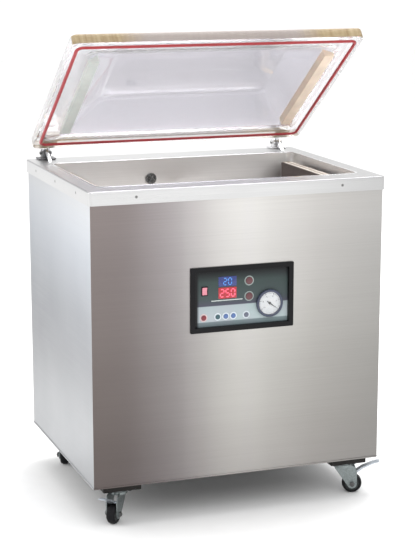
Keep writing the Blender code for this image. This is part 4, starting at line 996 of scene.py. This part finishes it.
def gauge_marks(centre, reach, height):
    """The dial's scale from the needle's rest, anticlockwise, with a number at each long mark."""
    start, sweep, long_marks, between_longs = -36.0, 252.0, 5, 10
    marks = bmesh.new()
    total = long_marks * between_longs
    for i in range(total + 1):
        outward = spoke(start + sweep * i / total)
        side = Vector((-outward.z, 0, outward.x))
        inner, width = (0.86, 0.00018) if i % between_longs else (0.78, 0.00042)
        near, far = inner * reach, 0.93 * reach
        ends = [(near, -width), (near, width), (far, width), (far, -width)]
        rings = []
        for lift in (height, height + 0.0001):
            rings.append([centre - Y * lift + outward * r + side * w for r, w in ends])
        loft(marks, rings)
    piece("gauge_marks", marks, INK, "cabinet")
    for i in range(long_marks + 1):
        outward = spoke(start + sweep * i / long_marks)
        place = centre + outward * reach * 0.62 - Y * (height + 0.00005)
        number(f"gauge_number_{i}", str(2 * i), place, 0.0052)


def number(name, text, place, size):
    """A printed number, upright and facing the front."""
    curve = bpy.data.curves.new(name, "FONT")
    curve.body = text
    curve.size = size
    curve.extrude = 0.00005
    curve.align_x, curve.align_y = "CENTER", "CENTER"
    drawn = add_object(name, curve)
    drawn.matrix_world = Matrix.Translation(place) @ Matrix.Rotation(math.radians(90), 4, "X")
    bpy.context.view_layer.update()
    view = bpy.context.evaluated_depsgraph_get()
    mesh = bpy.data.meshes.new_from_object(drawn.evaluated_get(view))
    mesh.transform(drawn.matrix_world)
    bpy.data.objects.remove(drawn, do_unlink=True)
    bm = bmesh.new()
    bm.from_mesh(mesh)
    bpy.data.meshes.remove(mesh)
    bmesh.ops.remove_doubles(bm, verts=bm.verts, dist=1e-6)
    piece(name, bm, INK, "cabinet")


# ---- inside the cabinet


def machinery():
    finish_nodes(["vacuum_pump", "pump_motor"], CAST_GREY, 0.0012, 3)
    finish_nodes(["transformer"], COPPER, 0.0008)
    finish_nodes(["vacuum_valve", "air_valve"], ALUMINIUM, 0.0006)
    finish_nodes(["suction_pipe"], HOSE)
    finish_nodes(["cord_gland"], BLACK_NYLON, 0.0003)
    for word, _ in SIDES:
        finish_nodes([f"strut_cylinder_{word}"], BLACK_PLASTIC, 0.0004)
        finish_nodes([f"strut_rod_{word}"], CHROME, 0.0003)


# ---- casters


def casters():
    for name in CASTERS:
        refine(NODES[f"caster_plate_{name}"], 0.0004, ZINC)
        refine(NODES[f"caster_fork_{name}"], 0.0004, ZINC)
        wheel(name)
        plate_bolts(name)
    for name in CASTERS[:2]:
        brake(name)


def wheel(name):
    """A rubber tyre with a crowned tread on a moulded core, and the axle's nuts."""
    joint = JOINTS[f"roll_{name}"]
    axle, place = Vector(joint["axis"]), Vector(joint["pos_m"])
    _, _, _, size = span(f"caster_wheel_{name}")
    radius, half = size.z / 2, 0.0105
    rim, bore, hub = 0.0178, 0.0039, half + 0.0008
    tread = [(rim, half - 0.0004), (radius - 0.0042, half), (radius - 0.0016, half - 0.0022)]
    tread += [(radius - 0.0002, half - 0.0055), (radius, 0.0)]
    tread += [(r, -h) for r, h in reversed(tread[:-1])]
    core = [(bore, hub), (0.0080, hub), (0.0088, hub - 0.0014), (0.0100, half - 0.0026)]
    core += [(0.0158, half - 0.0026), (rim - 0.0001, half - 0.0006)]
    core += [(r, -h) for r, h in reversed(core)]
    body = f"wheel_{name}"
    tyre = piece(f"wheel_tyre_{name}", turned_ring(tread, place, axle), TYRE_RUBBER, body, 40)
    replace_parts(tyre, f"caster_wheel_{name}")
    piece(f"wheel_core_{name}", turned_ring(core, place, axle), WHEEL_CORE, body, 40)
    stub = [(0.0, 0.0018), (0.0026, 0.0018), (0.0032, 0.0012), (0.0032, 0.0), (0.0, 0.0)]
    nut_seat, stub_seat = 0.0166, 0.0200
    for end in (-1, 1):
        nut = set_at(hex_head(0.0066, 0.0036), place + axle * end * nut_seat, axle * end)
        tip = set_at(turned(stub, 20), place + axle * end * stub_seat, axle * end)
        piece(f"axle_nut_{name}_{end + 1}", merged(nut, tip), BOLT_STEEL, f"fork_{name}")


def turned_ring(profile, place, axle):
    """A closed section turned about an axle."""
    bm = turned(profile + profile[:1], 64)
    bmesh.ops.remove_doubles(bm, verts=bm.verts, dist=1e-7)
    return set_at(bm, place, axle)


def plate_bolts(name):
    """Four bolts under the corners of the plate."""
    _, high, middle, size = span(f"caster_plate_{name}")
    under = high.z - 0.0026
    reach = size.x / 2 - 0.0078
    for index, (x, y) in enumerate(((-1, -1), (1, -1), (1, 1), (-1, 1))):
        place = Vector((middle.x + x * reach, middle.y + y * reach, under))
        bolt = set_at(hex_head(0.0052, 0.0030), place, -Z, 0.3 * index)
        piece(f"plate_bolt_{name}_{index}", bolt, BOLT_STEEL, "cabinet")


def brake(name):
    """The pedal's finish and the ribs that give a foot its grip."""
    refine(NODES[f"brake_pedal_{name}"], 0.0005, PEDAL_ZINC)
    joint = JOINTS[f"brake_{name}"]
    axle, pivot = Vector(joint["axis"]), Vector(joint["pos_m"])
    outward = axle.cross(Z)
    ribs = ((0.0450, 0.0243), (0.0485, 0.0251), (0.0520, 0.0260), (0.0555, 0.0268))
    half_length, radius, sides = 0.0082, 0.0011, 10
    turns = [math.tau * k / sides for k in range(sides)]
    circle = [outward * math.cos(a) + Z * math.sin(a) for a in turns]
    for index, (reach, lift) in enumerate(ribs):
        middle = pivot + outward * reach + Z * lift
        bm = bmesh.new()
        rings = []
        for t, share in ((-1, 0.35), (-0.96, 1.0), (0.96, 1.0), (1, 0.35)):
            rings.append([middle + axle * t * half_length + way * radius * share for way in circle])
        loft(bm, rings)
        piece(f"pedal_rib_{name}_{index}", bm, PEDAL_ZINC, f"pedal_{name}")


# ---- studio


def camera():
    """A long lens in front of the machine and to its left, a little above the deck."""
    made = bpy.data.cameras.new("camera")
    made.lens = 106.7
    made.sensor_width = 36.0
    made.clip_start, made.clip_end = 0.1, 100.0
    obj = add_object("camera", made)
    obj.location = (-1.3745, -3.8395, 1.396)
    look_down, look_right = 11.89, 19.99
    obj.rotation_euler = (math.radians(90 - look_down), 0.0, math.radians(-look_right))
    bpy.context.scene.camera = obj


def area_light(name, place, target, size, power):
    """A square white lamp that faces a target; size in metres, power in watts."""
    made = bpy.data.lights.new(name, "AREA")
    made.shape = "RECTANGLE"
    made.size, made.size_y = size, size
    made.energy = power
    obj = add_object(name, made)
    obj.location = place
    obj.rotation_euler = (Vector(target) - Vector(place)).to_track_quat("-Z", "Y").to_euler()


def studio():
    """A pale floor, a white surround and large soft lights."""
    bm = bmesh.new()
    bmesh.ops.create_grid(bm, x_segments=8, y_segments=8, size=14.0)
    mesh = bpy.data.meshes.new("floor")
    bm.to_mesh(mesh)
    bm.free()
    floor = add_object("floor", mesh)
    mesh.materials.append(moulded("floor_paint", (0.93, 0.93, 0.93), 0.80, 40.0, 0.02, 0.01))
    world = bpy.data.worlds.new("studio")
    world.use_nodes = True
    surround = world.node_tree.nodes["Background"].inputs
    surround["Color"].default_value = rgb(1.0, 1.0, 1.0)
    surround["Strength"].default_value = 1.08
    bpy.context.scene.world = world
    bpy.context.scene.view_settings.view_transform = "Standard"
    area_light("key", (0.9, 0.9, 4.2), (0.0, 0.0, 0.4), 2.6, 135)
    area_light("fill", (-0.4, -3.4, 3.2), (0, 0, 0.5), 2.5, 30)
    area_light("left", (-3.4, 0.4, 2.6), (0, 0, 0.3), 2.5, 38)


camera()
cabinet()
deck_screws()
chamber_lip()
panel_hems()
rear_screws()
seal_bars()
lid()
lid_seal()
lid_fittings()
control_panel()
vacuum_gauge()
machinery()
casters()
studio()
